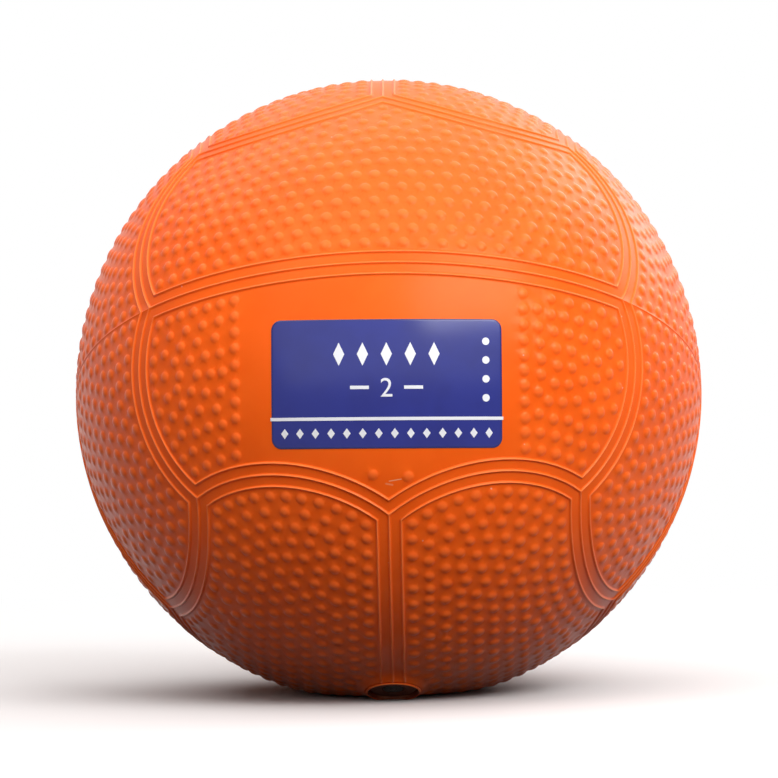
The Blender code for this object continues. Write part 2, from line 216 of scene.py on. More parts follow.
@dataclass(frozen=True)
class SeamPattern:
    """The five seams round a panel: one long seam and four bowed short ones.

    Every panel is worked out in its own axes. X runs along its long seam, Y points out through
    that seam's middle and Z runs across the panel to the corner that faces the long seam.
    """

    own_bow: float
    far_bow: float
    half_angle: float = math.radians(46.0)
    reach: float = math.radians(15.0)

    @staticmethod
    def of_face(face: int) -> "SeamPattern":
        """Return the seams of a panel of a cube face: the next face's long seam ends at its far corner."""
        return SeamPattern(FACE_BOWS[face], FACE_BOWS[(face + 1) % 3])

    def corners(self) -> np.ndarray:
        """Return the panel's five corners on the unit ball.

        Returns:
            Five unit points: the long seam's two ends, and then on round the panel.
        """
        side, out = math.sin(self.half_angle), math.cos(self.half_angle)
        cube = 1.0 / math.sqrt(3.0)
        return np.array(
            [(-side, out, 0), (side, out, 0), (cube, cube, cube), (0, side, out), (-cube, cube, cube)]
        )

    def far_corner(self) -> np.ndarray:
        """Return the corner that faces the long seam."""
        return self.corners()[3]

    def centre(self) -> np.ndarray:
        """Return the unit point in the middle of the panel."""
        middle = (math.pi / 2 - self.half_angle) / 2
        return np.array((0.0, math.cos(middle), math.sin(middle)))

    def straight(self) -> np.ndarray:
        """Return, for each seam, the inward normal of the plane through its ends and the centre.

        Returns:
            Five unit normals, the long seam's first.
        """
        corners = self.corners()
        normals = unit(np.cross(corners, np.roll(corners, -1, axis=0)))
        return normals * np.sign(normals @ self.centre())[:, None]

    def seams(self) -> list[Seam]:
        """Return each seam's plane as its inward normal and its distance from the ball's middle.

        Returns:
            Five pairs of a normal and a distance, the long seam's first.
        """
        corners, inward = self.corners(), self.straight()
        bows = (0.0, self.own_bow, -self.far_bow, -self.far_bow, self.own_bow)
        planes = []
        for index, bow in enumerate(bows):
            start, end = corners[index], corners[(index + 1) % len(corners)]
            middle = math.cos(bow) * unit(start + end) - math.sin(bow) * inward[index]
            normal = unit(np.cross(end - start, middle - start))
            if normal @ self.centre() < normal @ start:
                normal = -normal
            planes.append((normal, float(normal @ start)))
        return planes

    def inset(self, angle: float) -> list[Seam]:
        """Return the seams' planes moved into the panel by an angle."""
        return [(normal, math.sin(math.asin(far) + angle)) for normal, far in self.seams()]

    def mitred(self, angle: float) -> np.ndarray:
        """Return the corners of the outline that runs inside the seams by an angle.

        Args:
            angle: How far inside the seams the outline runs.

        Returns:
            Five unit points, in the order of the panel's corners.
        """
        planes = self.inset(angle)
        corners = []
        for index, corner in enumerate(self.corners()):
            (normal_1, far_1), (normal_2, far_2) = planes[index - 1], planes[index]
            lean = normal_1 @ normal_2
            spread = 1.0 - lean * lean
            base = ((far_1 - lean * far_2) * normal_1 + (far_2 - lean * far_1) * normal_2) / spread
            rise = math.sqrt((1.0 - base @ base) / spread) * np.cross(normal_1, normal_2)
            corners.append(base + math.copysign(1.0, rise @ corner) * rise)
        return np.array(corners)

    def outline(self, angle: float, steps: list[int]) -> np.ndarray:
        """Return the closed loop that runs inside the seams by an angle.

        Args:
            angle: How far inside the seams the loop runs.
            steps: The number of stretches along each seam.

        Returns:
            Unit points, each seam's start first.
        """
        corners = self.mitred(angle)
        loop = []
        for index, (normal, far) in enumerate(self.inset(angle)):
            start, end = corners[index], corners[(index + 1) % len(corners)]
            middle = normal * far
            out = start - middle
            side = np.cross(normal, out)
            turn = math.atan2((end - middle) @ side, (end - middle) @ out)
            turns = np.arange(steps[index])[:, None] * turn / steps[index]
            loop.append(middle + np.cos(turns) * out + np.sin(turns) * side)
        return np.concatenate(loop)

    def clearance(self, points: np.ndarray) -> np.ndarray:
        """Return how far points lie inside each seam, as angles; far seams count as endless.

        Args:
            points: Unit points in the panel's own axes.

        Returns:
            One row for each point, with one angle for each seam.
        """
        far = points @ self.straight().T > math.sin(self.reach)
        inside = np.stack(
            [np.arcsin(np.clip(points @ normal, -1, 1)) - math.asin(d) for normal, d in self.seams()],
            axis=1,
        )
        return np.where(far, np.inf, inside)


class PanelKind(Enum):
    """What a panel carries besides its seams and pebbles."""

    PLAIN = "plain"
    PARTED = "parted"
    LABELLED = "labelled"
    BOSSED = "bossed"


@dataclass(frozen=True)
class PanelPlace:
    """One of the twelve places of a panel, by cube face, side of the face and half of the face."""

    face: int
    sign: int
    side: int

    @property
    def pattern(self) -> SeamPattern:
        """Return the seams round the panel at this place."""
        return SeamPattern.of_face(self.face)

    @property
    def kind(self) -> PanelKind:
        """Return what the panel at this place carries.

        Returns:
            The kind, which settles what the skin and its pebbles do there.
        """
        if self.face == PARTED_FACE:
            return PanelKind.PARTED
        if (self.face, self.sign) == BOSSED_FACE:
            return PanelKind.BOSSED
        if (self.face, self.sign, self.side) == LABELLED_PLACE:
            return PanelKind.LABELLED
        return PanelKind.PLAIN

    def turned(self, points: np.ndarray) -> np.ndarray:
        """Carry points from the panel's own axes to the pattern's axes.

        Args:
            points: Points in the panel's own axes.

        Returns:
            The same points in the pattern's axes.
        """
        axes = np.eye(3)
        along = axes[(self.face + 2) % 3]
        outward = axes[self.face] * self.sign
        across = axes[(self.face + 1) % 3] * self.side
        return points @ np.stack([along, outward, across])

    @property
    def mirrored(self) -> bool:
        """Tell whether the panel's axes are a mirror image of the pattern's."""
        return self.sign * self.side < 0

    @staticmethod
    def all_places() -> list["PanelPlace"]:
        """Return the twelve places in a fixed order."""
        return [PanelPlace(f, s, h) for f in range(3) for s in (1, -1) for h in (1, -1)]


@dataclass(frozen=True)
class FillerBoss:
    """The flared boss round the plug, its neck and the bore, turned about the boss axis."""

    rim_radius: float = 6.5 * MM
    rim_height: float = 1.2 * MM
    lip_width: float = 0.6 * MM
    flare_width: float = 4.8 * MM
    recess_depth: float = 2.6 * MM
    neck_radius: float = 6.4 * MM
    neck_length: float = 11.0 * MM
    bore_radius: float = 4.0 * MM
    half_steps: int = 48
    flare_rings: int = 10
    flare_steps: float = 8.0
    flare_growth: float = 1.3
    lip_steps: int = 8
    cavity_steps: int = 40
    # Height band of the lip's top that gets a painted highlight, and the profile rows of the lip's inside
    # and the recess that get painted shade.
    lip_highlight_band: float = 0.1 * MM
    painted_shade_rows: tuple[int, int] = (6, 11)
    clear_radius: float = 10.2 * MM
    ridge_fade: float = 0.8 * MM

    def rim_point(self, ball: Ball) -> tuple[float, float]:
        """Return where the flare meets the lip, as a radius and a height on the boss axis."""
        return self.rim_radius, ball.radius + self.rim_height - self.lip_width / 2

    def rim_angle(self, ball: Ball) -> float:
        """Return the angle at the ball's middle between the boss axis and the rim."""
        reach, height = self.rim_point(ball)
        return math.atan2(reach, height)

    def flare(self, ball: Ball, angles: np.ndarray) -> np.ndarray:
        """Return how far the flare stands off the ball at angles from the boss axis.

        Args:
            ball: The ball that the boss sits on.
            angles: Angles at the ball's middle from the boss axis.

        Returns:
            One height for each angle.
        """
        top = math.hypot(*self.rim_point(ball)) - ball.radius
        start = self.rim_angle(ball)
        share = np.clip((angles - start) * ball.radius / self.flare_width, 0.0, 1.0)
        return top * (1.0 - share) ** 2

    def softness(self, ball: Ball, angles: np.ndarray) -> np.ndarray:
        """Return how softly the foot bends at angles from the boss axis: the boss stays crisp."""
        share = np.clip((angles - self.rim_angle(ball)) * ball.radius / self.flare_width, 0.0, 1.0)
        return ball.boss_softness + (ball.foot_softness - ball.boss_softness) * share**2

    def half_circle(self, angle: float, steps: int) -> np.ndarray:
        """Return half a circle about the boss axis, from -X to +X on the panel's side.

        Args:
            angle: The circle's angle from the boss axis.
            steps: The number of stretches along it.

        Returns:
            Unit points in the panel's own axes.
        """
        turns = np.linspace(math.pi, 0.0, steps + 1)
        reach = math.sin(angle)
        height = np.full_like(turns, math.cos(angle))
        points = np.stack([reach * np.cos(turns), height, reach * np.sin(turns)], axis=1)
        points[[0, -1], 2] = 0.0
        return points

    def ring_angle(self, ball: Ball, ring: int) -> float:
        """Return the angle from the boss axis of one of the rings that shape the flare."""
        share = (ring / self.flare_steps) ** self.flare_growth
        return self.rim_angle(ball) + self.flare_width / ball.radius * share

    def flare_points(self, ball: Ball) -> np.ndarray:
        """Return points in half rings over the flare, so that its curve is smooth.

        Args:
            ball: The ball that the boss sits on.

        Returns:
            Unit points, ring by ring outwards.
        """
        rings = []
        for ring in range(1, self.flare_rings + 1):
            rings.append(self.half_circle(self.ring_angle(ball, ring), self.half_steps)[1:-1])
        return np.concatenate(rings)

    def profile(self, ball: Ball) -> list[tuple[float, float, float, float]]:
        """Return the inside of the ball from the rim inwards.

        Args:
            ball: The ball that the boss sits on.

        Returns:
            Points as a radius, a height on the boss axis, the level that the foot lifts them to
            and how softly it bends them.
        """
        lip = self.lip_width / 2
        top = ball.radius + self.rim_height
        recess_radius = self.rim_radius - self.lip_width
        recess_floor = top - self.recess_depth
        neck_end = ball.radius - self.neck_length
        cavity = ball.radius - ball.skin_wall
        points = []
        for step in range(1, self.lip_steps + 1):
            turn = math.pi * step / self.lip_steps
            points.append((self.rim_radius - lip + lip * math.cos(turn), top - lip + lip * math.sin(turn)))
        wall = [(recess_radius, recess_floor), (self.bore_radius, recess_floor)]
        wall += [(self.bore_radius, neck_end), (self.neck_radius, neck_end)]
        profile = [(reach, height, 0.0, ball.boss_softness) for reach, height in points + wall]
        start = math.asin(self.neck_radius / cavity)
        for step in range(self.cavity_steps + 1):
            turn = start + (math.pi - start) * step / self.cavity_steps
            place = cavity * math.sin(turn), cavity * math.cos(turn)
            profile.append((*place, ball.skin_wall, ball.foot_softness))
        return profile


@dataclass
class PebbleField:
    """The grip pebbles of one panel, laid in even rows that follow its seams."""

    spacing: float = 4.3 * MM
    row_spacing: float = 3.7 * MM
    row_reach: float = 20.0 * MM
    row_pull: float = 0.3
    radius: float = 1.30 * MM
    height: float = 0.35 * MM
    fullness: float = 0.6
    spread: float = 0.05
    unevenness: float = 0.035
    seam_margin: float = 5.1 * MM
    settle_rounds: int = 120
    push_reach: float = 1.22
    push_share: float = 0.2
    ring_start: tuple[float, float, float] = (0.31, 0.12, 0.94)
    rings: tuple[tuple[float, int], ...] = ((0.45, 7), (0.82, 11), (1.02, 11), (1.17, 10))

    def held(self, points: np.ndarray, pattern: SeamPattern, walls: list[Seam], margin: float) -> np.ndarray:
        """Push points back inside the seams' margin and the walls of their part of the panel.

        Args:
            points: Unit points in the pebbles' middles.
            pattern: The panel's seams.
            walls: Planes that bound the part besides the seams.
            margin: The least angle between a pebble's middle and a seam.

        Returns:
            The moved points.
        """
        clear = pattern.clearance(points)
        for index, (normal, _) in enumerate(pattern.seams()):
            short = np.clip(margin - clear[:, index], 0.0, None)
            points = points + short[:, None] * along_ball(points, normal[None])
        for normal, far in walls:
            short = np.clip(math.asin(far) - np.arcsin(points @ normal), 0.0, None)
            points = points + short[:, None] * along_ball(points, normal[None])
        return unit(points)

    def lined_up(self, points: np.ndarray, pattern: SeamPattern, ball: Ball) -> np.ndarray:
        """Draw pebbles towards rows that run along their nearest seam, most of all close to it.

        Args:
            points: Unit points in the pebbles' middles.
            pattern: The panel's seams.
            ball: The ball that the pebbles sit on.

        Returns:
            The moved points.
        """
        clear = pattern.clearance(points)
        depth = np.minimum(clear.min(1) * ball.radius - self.seam_margin, self.row_reach)
        row = np.round(depth / self.row_spacing) * self.row_spacing
        pull = self.row_pull * np.clip(1.0 - depth / self.row_reach, 0.0, 1.0)
        normals = np.array([normal for normal, _ in pattern.seams()])[clear.argmin(1)]
        step = pull * (row - depth) / ball.radius
        return unit(points + step[:, None] * along_ball(points, normals))

    def laid(
        self, pattern: SeamPattern, walls: list[Seam], rng: np.random.Generator, ball: Ball
    ) -> np.ndarray:
        """Settle pebbles in a part of the panel until they lie evenly.

        Args:
            pattern: The panel's seams.
            walls: Planes that bound the part besides the seams.
            rng: The seeded source of the small irregularities.
            ball: The ball that the panel belongs to.

        Returns:
            Unit points in the pebbles' middles.
        """
        pitch = self.spacing / ball.radius
        margin = self.seam_margin / ball.radius
        slack = self.row_spacing / 2 / ball.radius
        points = even_grid(pitch, pattern.centre())
        points = unit(points + rng.normal(0.0, self.unevenness * pitch, points.shape))
        inside = pattern.clearance(points).min(1) > margin - slack
        for normal, far in walls:
            inside &= np.arcsin(points @ normal) > math.asin(far) - slack
        points = points[inside]
        for _ in range(self.settle_rounds):
            points = self.held(points, pattern, walls, margin)
            gaps = points[:, None] - points[None]
            lengths = np.linalg.norm(gaps, axis=2)
            np.fill_diagonal(lengths, 1.0)
            push = np.clip(self.push_reach * pitch / lengths - 1.0, 0.0, 1.0)
            points = points + self.push_share * (gaps * push[..., None]).sum(1)
            points = self.lined_up(points, pattern, ball)
        return self.held(points, pattern, walls, margin)

    def dome_points(self, centres: np.ndarray, radii: np.ndarray, ball: Ball) -> np.ndarray:
        """Return the middle and the rings of points that carry each pebble's shape.

        Args:
            centres: Unit points in the pebbles' middles.
            radii: The pebbles' radii.
            ball: The ball that the pebbles sit on.

        Returns:
            Unit points, the middles first.
        """
        side = unit(np.cross(centres, np.array(self.ring_start)))
        upward = np.cross(centres, side)
        points = [centres]
        for share, count in self.rings:
            reach = (share * radii / ball.radius)[:, None]
            for step in range(count):
                turn = math.tau * (step + share) / count
                points.append(unit(centres + reach * (math.cos(turn) * side + math.sin(turn) * upward)))
        return np.concatenate(points)

    def rise(
        self, points: np.ndarray, centres: np.ndarray, radii: np.ndarray, heights: np.ndarray, ball: Ball
    ) -> np.ndarray:
        """Return how far the pebbles lift the skin at some points.

        Args:
            points: Unit points of the skin.
            centres: Unit points in the pebbles' middles.
            radii: The pebbles' radii.
            heights: The pebbles' heights.
            ball: The ball that they sit on.

        Returns:
            One height for each point.
        """
        near = (points @ centres.T).argmax(1)
        gap = np.linalg.norm(points - centres[near], axis=1) * ball.radius / radii[near]
        return heights[near] * np.clip(1.0 - gap**2, 0.0, None) ** self.fullness


@dataclass(frozen=True)
class Sheet:
    """A part of the skin: its points in the frame, its triangles and two values for each point.

    The flat values spread the sheet out on a chart. The painted light value runs from 1, where
    crests carry a painted highlight, to -1, where the recess carries painted shade.
    """

    points: np.ndarray
    triangles: np.ndarray
    flat: np.ndarray
    painted_light: np.ndarray


@dataclass(frozen=True)
class Scratch:
    """A scratch in a surface, from one point of the frame to another."""

    start: tuple[float, float, float]
    end: tuple[float, float, float]
    width: float
    strength: float


@dataclass
class Skin:
    """The moulded skin with every ridge, pebble and parting line, its boss and its cavity."""

    ball: Ball
    boss: FillerBoss
    pebbles: PebbleField = field(default_factory=PebbleField)
    ridge_width: float = 0.8 * MM
    ridge_height: float = 0.4 * MM
    ridge_spacing: float = 2.7 * MM
    ridge_shares: tuple[float, ...] = (0.0, 0.3, 0.6, 1.0)
    ridge_guard: float = 0.2 * MM
    long_steps: int = 48
    short_steps: int = 18
    boss_long_steps: int = 240
    parting_width: float = 0.5 * MM
    parting_height: float = 0.16 * MM
    parting_margin: float = 1.9 * MM
    parting_end: float = 0.6 * MM
    parting_steps: int = 60
    parting_shares: tuple[float, ...] = (-1.0, -0.5, 0.0, 0.5, 1.0)
    field_left: float = -33.9 * MM
    field_right: float = 30.8 * MM
    lone_places: tuple[tuple[float, float], ...] = ((-3.4 * MM, 9.4 * MM), (4.5 * MM, 8.8 * MM))
    ground_pitch: float = 2.4 * MM
    ground_slack: float = 0.4
    pebble_guard: float = 1.45
    # How strongly pebble tops and ridge crests get a painted highlight.
    pebble_highlight: float = 0.35
    crest_gain: float = 1.5
    chart_cells: int = 4
    chart_fullness: float = 1.02
    join_distance: float = 2e-6
    # Each scratch's ends, right and up from the far corner, and its width, all in millimetres,
    # and then its strength.
    scratch_places: tuple[tuple[tuple[tuple[float, float], ...], float, float], ...] = (
        (((0.2, 7.9), (2.9, 8.3)), 0.16, 0.75),
        (((-0.5, 7.3), (0.9, 7.0)), 0.30, 0.35),
    )
    seed: int = 11

    @property
    def pebble_edge(self) -> float:
        """Return the cosine of the angle from a pebble's middle within which only it has points."""
        return math.cos(self.pebbles.radius * self.pebble_guard / self.ball.radius)

    def row_offsets(self) -> list[float]:
        """Return how far inside the border each row of the ridges' shape runs.

        Returns:
            Distances from the border, the nearest row's first.
        """
        half = self.ridge_width / 2
        rows = [share * half for share in self.ridge_shares] + [half + self.ridge_guard]
        rows += [self.ridge_spacing - half - self.ridge_guard]
        rows += [self.ridge_spacing - share * half for share in self.ridge_shares[:0:-1]]
        rows += [self.ridge_spacing + share * half for share in self.ridge_shares]
        return rows + [self.ridge_spacing + half + self.ridge_guard]

    def walls(self, kind: PanelKind) -> list[list[Seam]]:
        """Return the parts of a panel that carry pebbles, each as the walls that bound it.

        Args:
            kind: What the panel carries.

        Returns:
            One list of walls for each part, empty where only the seams bound it.
        """
        radius = self.ball.radius
        if kind is PanelKind.PARTED:
            margin = self.parting_margin / radius
            return [[(RIGHT, margin)], [(-RIGHT, margin)]]
        if kind is PanelKind.LABELLED:
            return [[(RIGHT, self.field_right / radius)], [(-RIGHT, -self.field_left / radius)]]
        if kind is PanelKind.BOSSED:
            away = np.array((0.0, -1.0, 0.0))
            return [[(away, -math.cos(self.boss.clear_radius / radius))]]
        return [[]]

    def ridges(self, points: np.ndarray, place: PanelPlace) -> np.ndarray:
        """Return how far the two ridges along a panel's border lift the skin at some points.

        Args:
            points: Unit points in the panel's own axes.
            place: Where the panel lies.

        Returns:
            One height for each point.
        """
        inside = place.pattern.clearance(points).min(1) * self.ball.radius
        rise = np.zeros(len(points))
        for middle in (0.0, self.ridge_spacing):
            share = np.clip(np.abs(inside - middle) / (self.ridge_width / 2), 0.0, 1.0)
            rise = np.maximum(rise, self.ridge_height * np.cos(math.pi / 2 * share) ** 2)
        return rise

    def relief(self, points: np.ndarray, place: PanelPlace) -> np.ndarray:
        """Return how far a panel's ridges, parting line and boss lift the skin at some points.

        Args:
            points: Unit points in the panel's own axes.
            place: Where the panel lies.

        Returns:
            One height for each point.
        """
        rise = self.ridges(points, place)
        if place.kind is PanelKind.PARTED:
            share = np.clip(np.abs(points[:, 0]) * self.ball.radius / (self.parting_width / 2), 0.0, 1.0)
            rise = np.maximum(rise, self.parting_height * np.cos(math.pi / 2 * share) ** 2)
        if place.kind is PanelKind.BOSSED:
            angles = np.arccos(np.clip(points[:, 1], -1.0, 1.0))
            beyond = (angles - self.boss.rim_angle(self.ball)) * self.ball.radius
            rise *= np.clip(beyond / self.boss.ridge_fade, 0.0, 1.0)
            rise += self.boss.flare(self.ball, angles)
        return rise

    def border(self, place: PanelPlace, offset: float) -> tuple[np.ndarray, bool]:
        """Return one row along the seams, and whether it is a closed ring.

        Args:
            place: Where the panel lies.
            offset: How far inside the border the row runs.

        Returns:
            Unit points and True, or False where the boss breaks the row.
        """
        bossed = place.kind is PanelKind.BOSSED
        steps = [self.boss_long_steps if bossed else self.long_steps] + [self.short_steps] * 4
        loop = place.pattern.outline(offset / self.ball.radius, steps)
        if not bossed:
            return loop, True
        rim = self.boss.rim_angle(self.ball)
        keep = loop[:, 1] < math.cos(rim + self.boss.ridge_fade / 2 / self.ball.radius)
        if keep.all():
            return loop, True
        first = int(np.argmin(keep))
        last = len(keep) - int(np.argmin(keep[::-1]))
        if offset > 0.0:
            return np.concatenate([loop[last:], loop[:first]]), False
        arc = self.boss.half_circle(rim, self.boss.half_steps)
        return np.concatenate([loop[last:], loop[:first], arc]), True

    def covers(self, points: np.ndarray, place: PanelPlace) -> np.ndarray:
        """Tell which points lie within the panel's seams and outside the boss.

        Args:
            points: Unit points in the panel's own axes.
            place: Where the panel lies.

        Returns:
            True or False for each point.
        """
        inside = place.pattern.clearance(points).min(1) > 0.0
        if place.kind is PanelKind.BOSSED:
            inside &= points[:, 1] < math.cos(self.boss.rim_angle(self.ball))
        return inside

    def by_far_corner(self, place: PanelPlace, flat: np.ndarray) -> np.ndarray:
        """Return unit points at distances right and up from a panel's far corner."""
        corner = place.pattern.far_corner()
        return unit(corner + aside(flat / self.ball.radius, corner))

    def parting_rows(self, place: PanelPlace) -> list[np.ndarray]:
        """Return the rows of points that shape the parting line across a panel.

        Args:
            place: Where the panel lies.

        Returns:
            Rows of unit points side by side, each from the long seam to the far corner.
        """
        half = self.parting_width / 2 / self.ball.radius
        end = self.parting_end / self.ball.radius
        turns = np.linspace(end, math.pi / 2 - place.pattern.half_angle - end, self.parting_steps)
        rows = []
        for share in self.parting_shares:
            side = np.full_like(turns, share * half)
            rows.append(unit(np.stack([side, np.cos(turns), np.sin(turns)], axis=1)))
        return rows

    def pebble_middles(self, place: PanelPlace, rng: np.random.Generator) -> np.ndarray:
        """Return the middles of a panel's pebbles, with the few that stand alone below the label.

        Args:
            place: Where the panel lies.
            rng: The seeded source of the small irregularities.

        Returns:
            Unit points in the panel's own axes.
        """
        walls = self.walls(place.kind)
        middles = [self.pebbles.laid(place.pattern, part, rng, self.ball) for part in walls]
        if place.kind is PanelKind.LABELLED:
            middles.append(self.by_far_corner(place, np.array(self.lone_places)))
        return np.concatenate(middles)

    def guide_rows(self, place: PanelPlace) -> tuple[list[np.ndarray], list[tuple[int, int]]]:
        """Return the rows of points along a panel's ridges and parting line, and their edges.

        Args:
            place: Where the panel lies.

        Returns:
            The rows of unit points, and pairs of points that are counted on through all rows.
        """
        rows = [self.border(place, offset) for offset in self.row_offsets()]
        if place.kind is PanelKind.PARTED:
            rows += [(row, False) for row in self.parting_rows(place)]
        edges, total = [], 0
        for row, closed in rows:
            edges += ring_edges(total, len(row))[: len(row) if closed else len(row) - 1]
            total += len(row)
        return [row for row, _ in rows], edges

    def ground(self, place: PanelPlace, centres: np.ndarray) -> np.ndarray:
        """Return points for the bare skin: between pebbles, on the smooth field, round the boss.

        Args:
            place: Where the panel lies.
            centres: Unit points in the pebbles' middles.

        Returns:
            Unit points in the panel's own axes.
        """
        pitch = self.ground_pitch / self.ball.radius
        points = even_grid(pitch, place.pattern.centre())
        margin = self.row_offsets()[-1] / self.ball.radius + self.ground_slack * pitch
        points = points[place.pattern.clearance(points).min(1) > margin]
        if place.kind is PanelKind.PARTED:
            points = points[np.abs(points[:, 0]) > self.parting_width / self.ball.radius]
        if place.kind is PanelKind.BOSSED:
            flare_end = self.boss.ring_angle(self.ball, self.boss.flare_rings + 1)
            points = points[points[:, 1] < math.cos(flare_end)]
            points = np.concatenate([self.boss.flare_points(self.ball), points])
        return points[(points @ centres.T).max(1) < self.pebble_edge]

    def panel(self, place: PanelPlace, rng: np.random.Generator) -> Sheet:
        """Build one panel of the skin.

        Args:
            place: Where the panel lies.
            rng: The seeded source of the small irregularities.

        Returns:
            The panel as a sheet whose edges meet those of its neighbours.
        """
        kind, pattern = place.kind, place.pattern
        centres = self.pebble_middles(place, rng)
        spread = 1.0 + self.pebbles.spread * rng.uniform(-1.0, 1.0, (2, len(centres)))
        radii, heights = self.pebbles.radius * spread[0], self.pebbles.height * spread[1]
        rows, edges = self.guide_rows(place)
        domes = self.pebbles.dome_points(centres, radii, self.ball)
        chart = chart_of(np.concatenate([*rows, domes, self.ground(place, centres)]), pattern.centre())
        flat, triangles = triangulate(chart, edges)
        points = ball_of(flat, pattern.centre())
        triangles = triangles[self.covers(unit(points[triangles].mean(1)), place)]
        swell = self.pebbles.rise(points, centres, radii, heights, self.ball)
        rise = self.relief(points, place) + swell
        crest = self.ridges(points, place) / self.ridge_height
        # Painted highlight: pale colour on ridge crests and, weaker, on pebble tops.
        painted_light = np.clip(crest * self.crest_gain - (self.crest_gain - 1.0), 0.0, 1.0)
        painted_light = np.maximum(painted_light, self.pebble_highlight * swell / self.pebbles.height)
        shaped = place.turned(points) * (self.ball.radius + rise)[:, None]
        softness = self.ball.foot_softness
        if kind is PanelKind.BOSSED:
            softness = self.boss.softness(self.ball, np.arccos(np.clip(points[:, 1], -1.0, 1.0)))
        if place.mirrored:
            triangles = triangles[:, ::-1]
        LOG.info("panel %s: %d pebbles, %d triangles", kind.value, len(centres), len(triangles))
        return Sheet(self.ball.settled(self.ball.placed(shaped), softness), triangles, flat, painted_light)

    def inside(self) -> Sheet:
        """Build the lip, recess, neck and cavity as one turned surface.

        Returns:
            The surface as a sheet that meets the panels at the boss's rim.
        """
        rim = (*self.boss.rim_point(self.ball), 0.0, self.ball.boss_softness)
        profile = np.array([rim] + self.boss.profile(self.ball))
        count = 2 * self.boss.half_steps
        turns = np.arange(count) * math.tau / count
        reach = profile[:-1, 0, None] * np.ones(count)
        height = profile[:-1, 1, None] * np.ones(count)
        rings = np.stack([reach * np.cos(turns), reach * np.sin(turns), -height], axis=2).reshape(-1, 3)
        points = np.concatenate([rings, [(0.0, 0.0, -profile[-1, 1])]])
        level, softness = (
            np.concatenate([np.repeat(profile[:-1, column], count), profile[-1:, column]])
            for column in (2, 3)
        )
        index = np.arange(len(rings)).reshape(-1, count)
        here, there = index[:-1], index[1:]
        after, beyond = np.roll(here, -1, axis=1), np.roll(there, -1, axis=1)
        triangles = [np.stack([here, after, beyond], axis=2), np.stack([here, beyond, there], axis=2)]
        triangles = [part.reshape(-1, 3) for part in triangles]
        tip = np.full(count, len(rings))
        triangles.append(np.stack([index[-1], np.roll(index[-1], -1), tip], axis=1))
        length = np.concatenate([[0.0], np.hypot(*np.diff(profile[:, :2], axis=0).T).cumsum()])
        share = (1.0 - length / length[-1])[:-1, None] * np.ones(count)
        flat = np.stack([share * np.cos(turns), share * np.sin(turns)], axis=2).reshape(-1, 2)
        flat = np.concatenate([flat, [(0.0, 0.0)]])
        placed = self.ball.settled(self.ball.placed(points), softness, level)
        # Painted highlight on the upward half of the lip's top, and painted shade over the lip's inside and
        # the recess.
        crown = self.ball.radius + self.boss.rim_height - self.boss.lip_highlight_band
        painted_light = ((height > crown) & (np.sin(turns) < 0.0)).astype(float)
        first, last = self.boss.painted_shade_rows
        painted_light[first:last] = -1.0
        painted_light = np.concatenate([painted_light.ravel(), [0.0]])
        return Sheet(placed, np.concatenate(triangles), flat, painted_light)

    def scratches(self) -> list[Scratch]:
        """Return the scratches on the smooth field, at heights where the skin has its surface.

        Returns:
            Each scratch as a line in the frame.
        """
        place = PanelPlace(*LABELLED_PLACE)
        found = []
        for ends, width, strength in self.scratch_places:
            points = self.by_far_corner(place, np.array(ends) * MM) * self.ball.radius
            start, end = self.ball.placed(place.turned(points))
            found.append(Scratch(tuple(start), tuple(end), width * MM, strength))
        return found

    def build(self) -> bpy.types.Object:
        """Build the skin as one closed mesh and put it in place of the plain one.

        Returns:
            The skin's object, with its painted highlight and shade values and the chart that a bake needs.
        """
        rng = np.random.default_rng(self.seed)
        sheets = [self.panel(place, rng) for place in PanelPlace.all_places()]
        sheets.append(self.inside())
        triangles, charts, total = [], [], 0
        for cell, sheet in enumerate(sheets):
            triangles.append(sheet.triangles + total)
            total += len(sheet.points)
            low, high = sheet.flat.min(0), sheet.flat.max(0)
            share = (sheet.flat - (low + high) / 2) / ((high - low).max() * self.chart_fullness) + 0.5
            across = np.array((cell % self.chart_cells, cell // self.chart_cells))
            charts.append((share + across) / self.chart_cells)
        points = np.concatenate([sheet.points for sheet in sheets])
        mesh = bpy.data.meshes.new("skin_shell")
        mesh.from_pydata(points.tolist(), [], np.concatenate(triangles).tolist())
        # Painted highlight and painted shade values for the skin's material.
        painted_light = mesh.attributes.new(PAINTED_LIGHT_ATTRIBUTE, "FLOAT", "POINT")
        painted_light.data.foreach_set("value", np.concatenate([sheet.painted_light for sheet in sheets]))
        corners = np.empty(len(mesh.loops), np.int32)
        mesh.loops.foreach_get("vertex_index", corners)
        bake_map = mesh.uv_layers.new(name=BAKE_MAP)
        bake_map.data.foreach_set("uv", np.concatenate(charts)[corners].ravel())
        merge_borders(mesh, self.join_distance)
        mesh.shade_smooth()
        shell = new_object("skin_shell", mesh)
        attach(shell, BODY)
        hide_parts("skin")
        return shell


def merge_borders(mesh: bpy.types.Mesh, distance: float) -> None:
    """Join the open borders of a mesh's sheets where their points meet.

    Args:
        mesh: The mesh to close.
        distance: How near two points must be to become one.
    """
    shape = bmesh.new()
    shape.from_mesh(mesh)
    open_points = [vert for vert in shape.verts if vert.is_boundary]
    bmesh.ops.remove_doubles(shape, verts=open_points, dist=distance)
    left = sum(edge.is_boundary for edge in shape.edges)
    LOG.info("skin: %d points, %d open edges left", len(shape.verts), left)
    shape.to_mesh(mesh)
    shape.free()


class MarkShape(Enum):
    """The outline of one plain mark of the label's print."""

    DIAMOND = "diamond"
    BAR = "bar"
    DOT = "dot"

    def outline(self, size: tuple[float, float]) -> np.ndarray:
        """Return the flat outline of a mark of this shape, as wide and high as size says.

        Args:
            size: The mark's width and height.

        Returns:
            Points round the mark's middle, anticlockwise.
        """
        half = np.array(size) / 2
        if self is MarkShape.DIAMOND:
            return half * [(1, 0), (0, 1), (-1, 0), (0, -1)]
        if self is MarkShape.BAR:
            return half * [(1, 1), (-1, 1), (-1, -1), (1, -1)]
        turns = np.arange(DOT_SIDES) * math.tau / DOT_SIDES
        return half * np.stack([np.cos(turns), np.sin(turns)], axis=1)


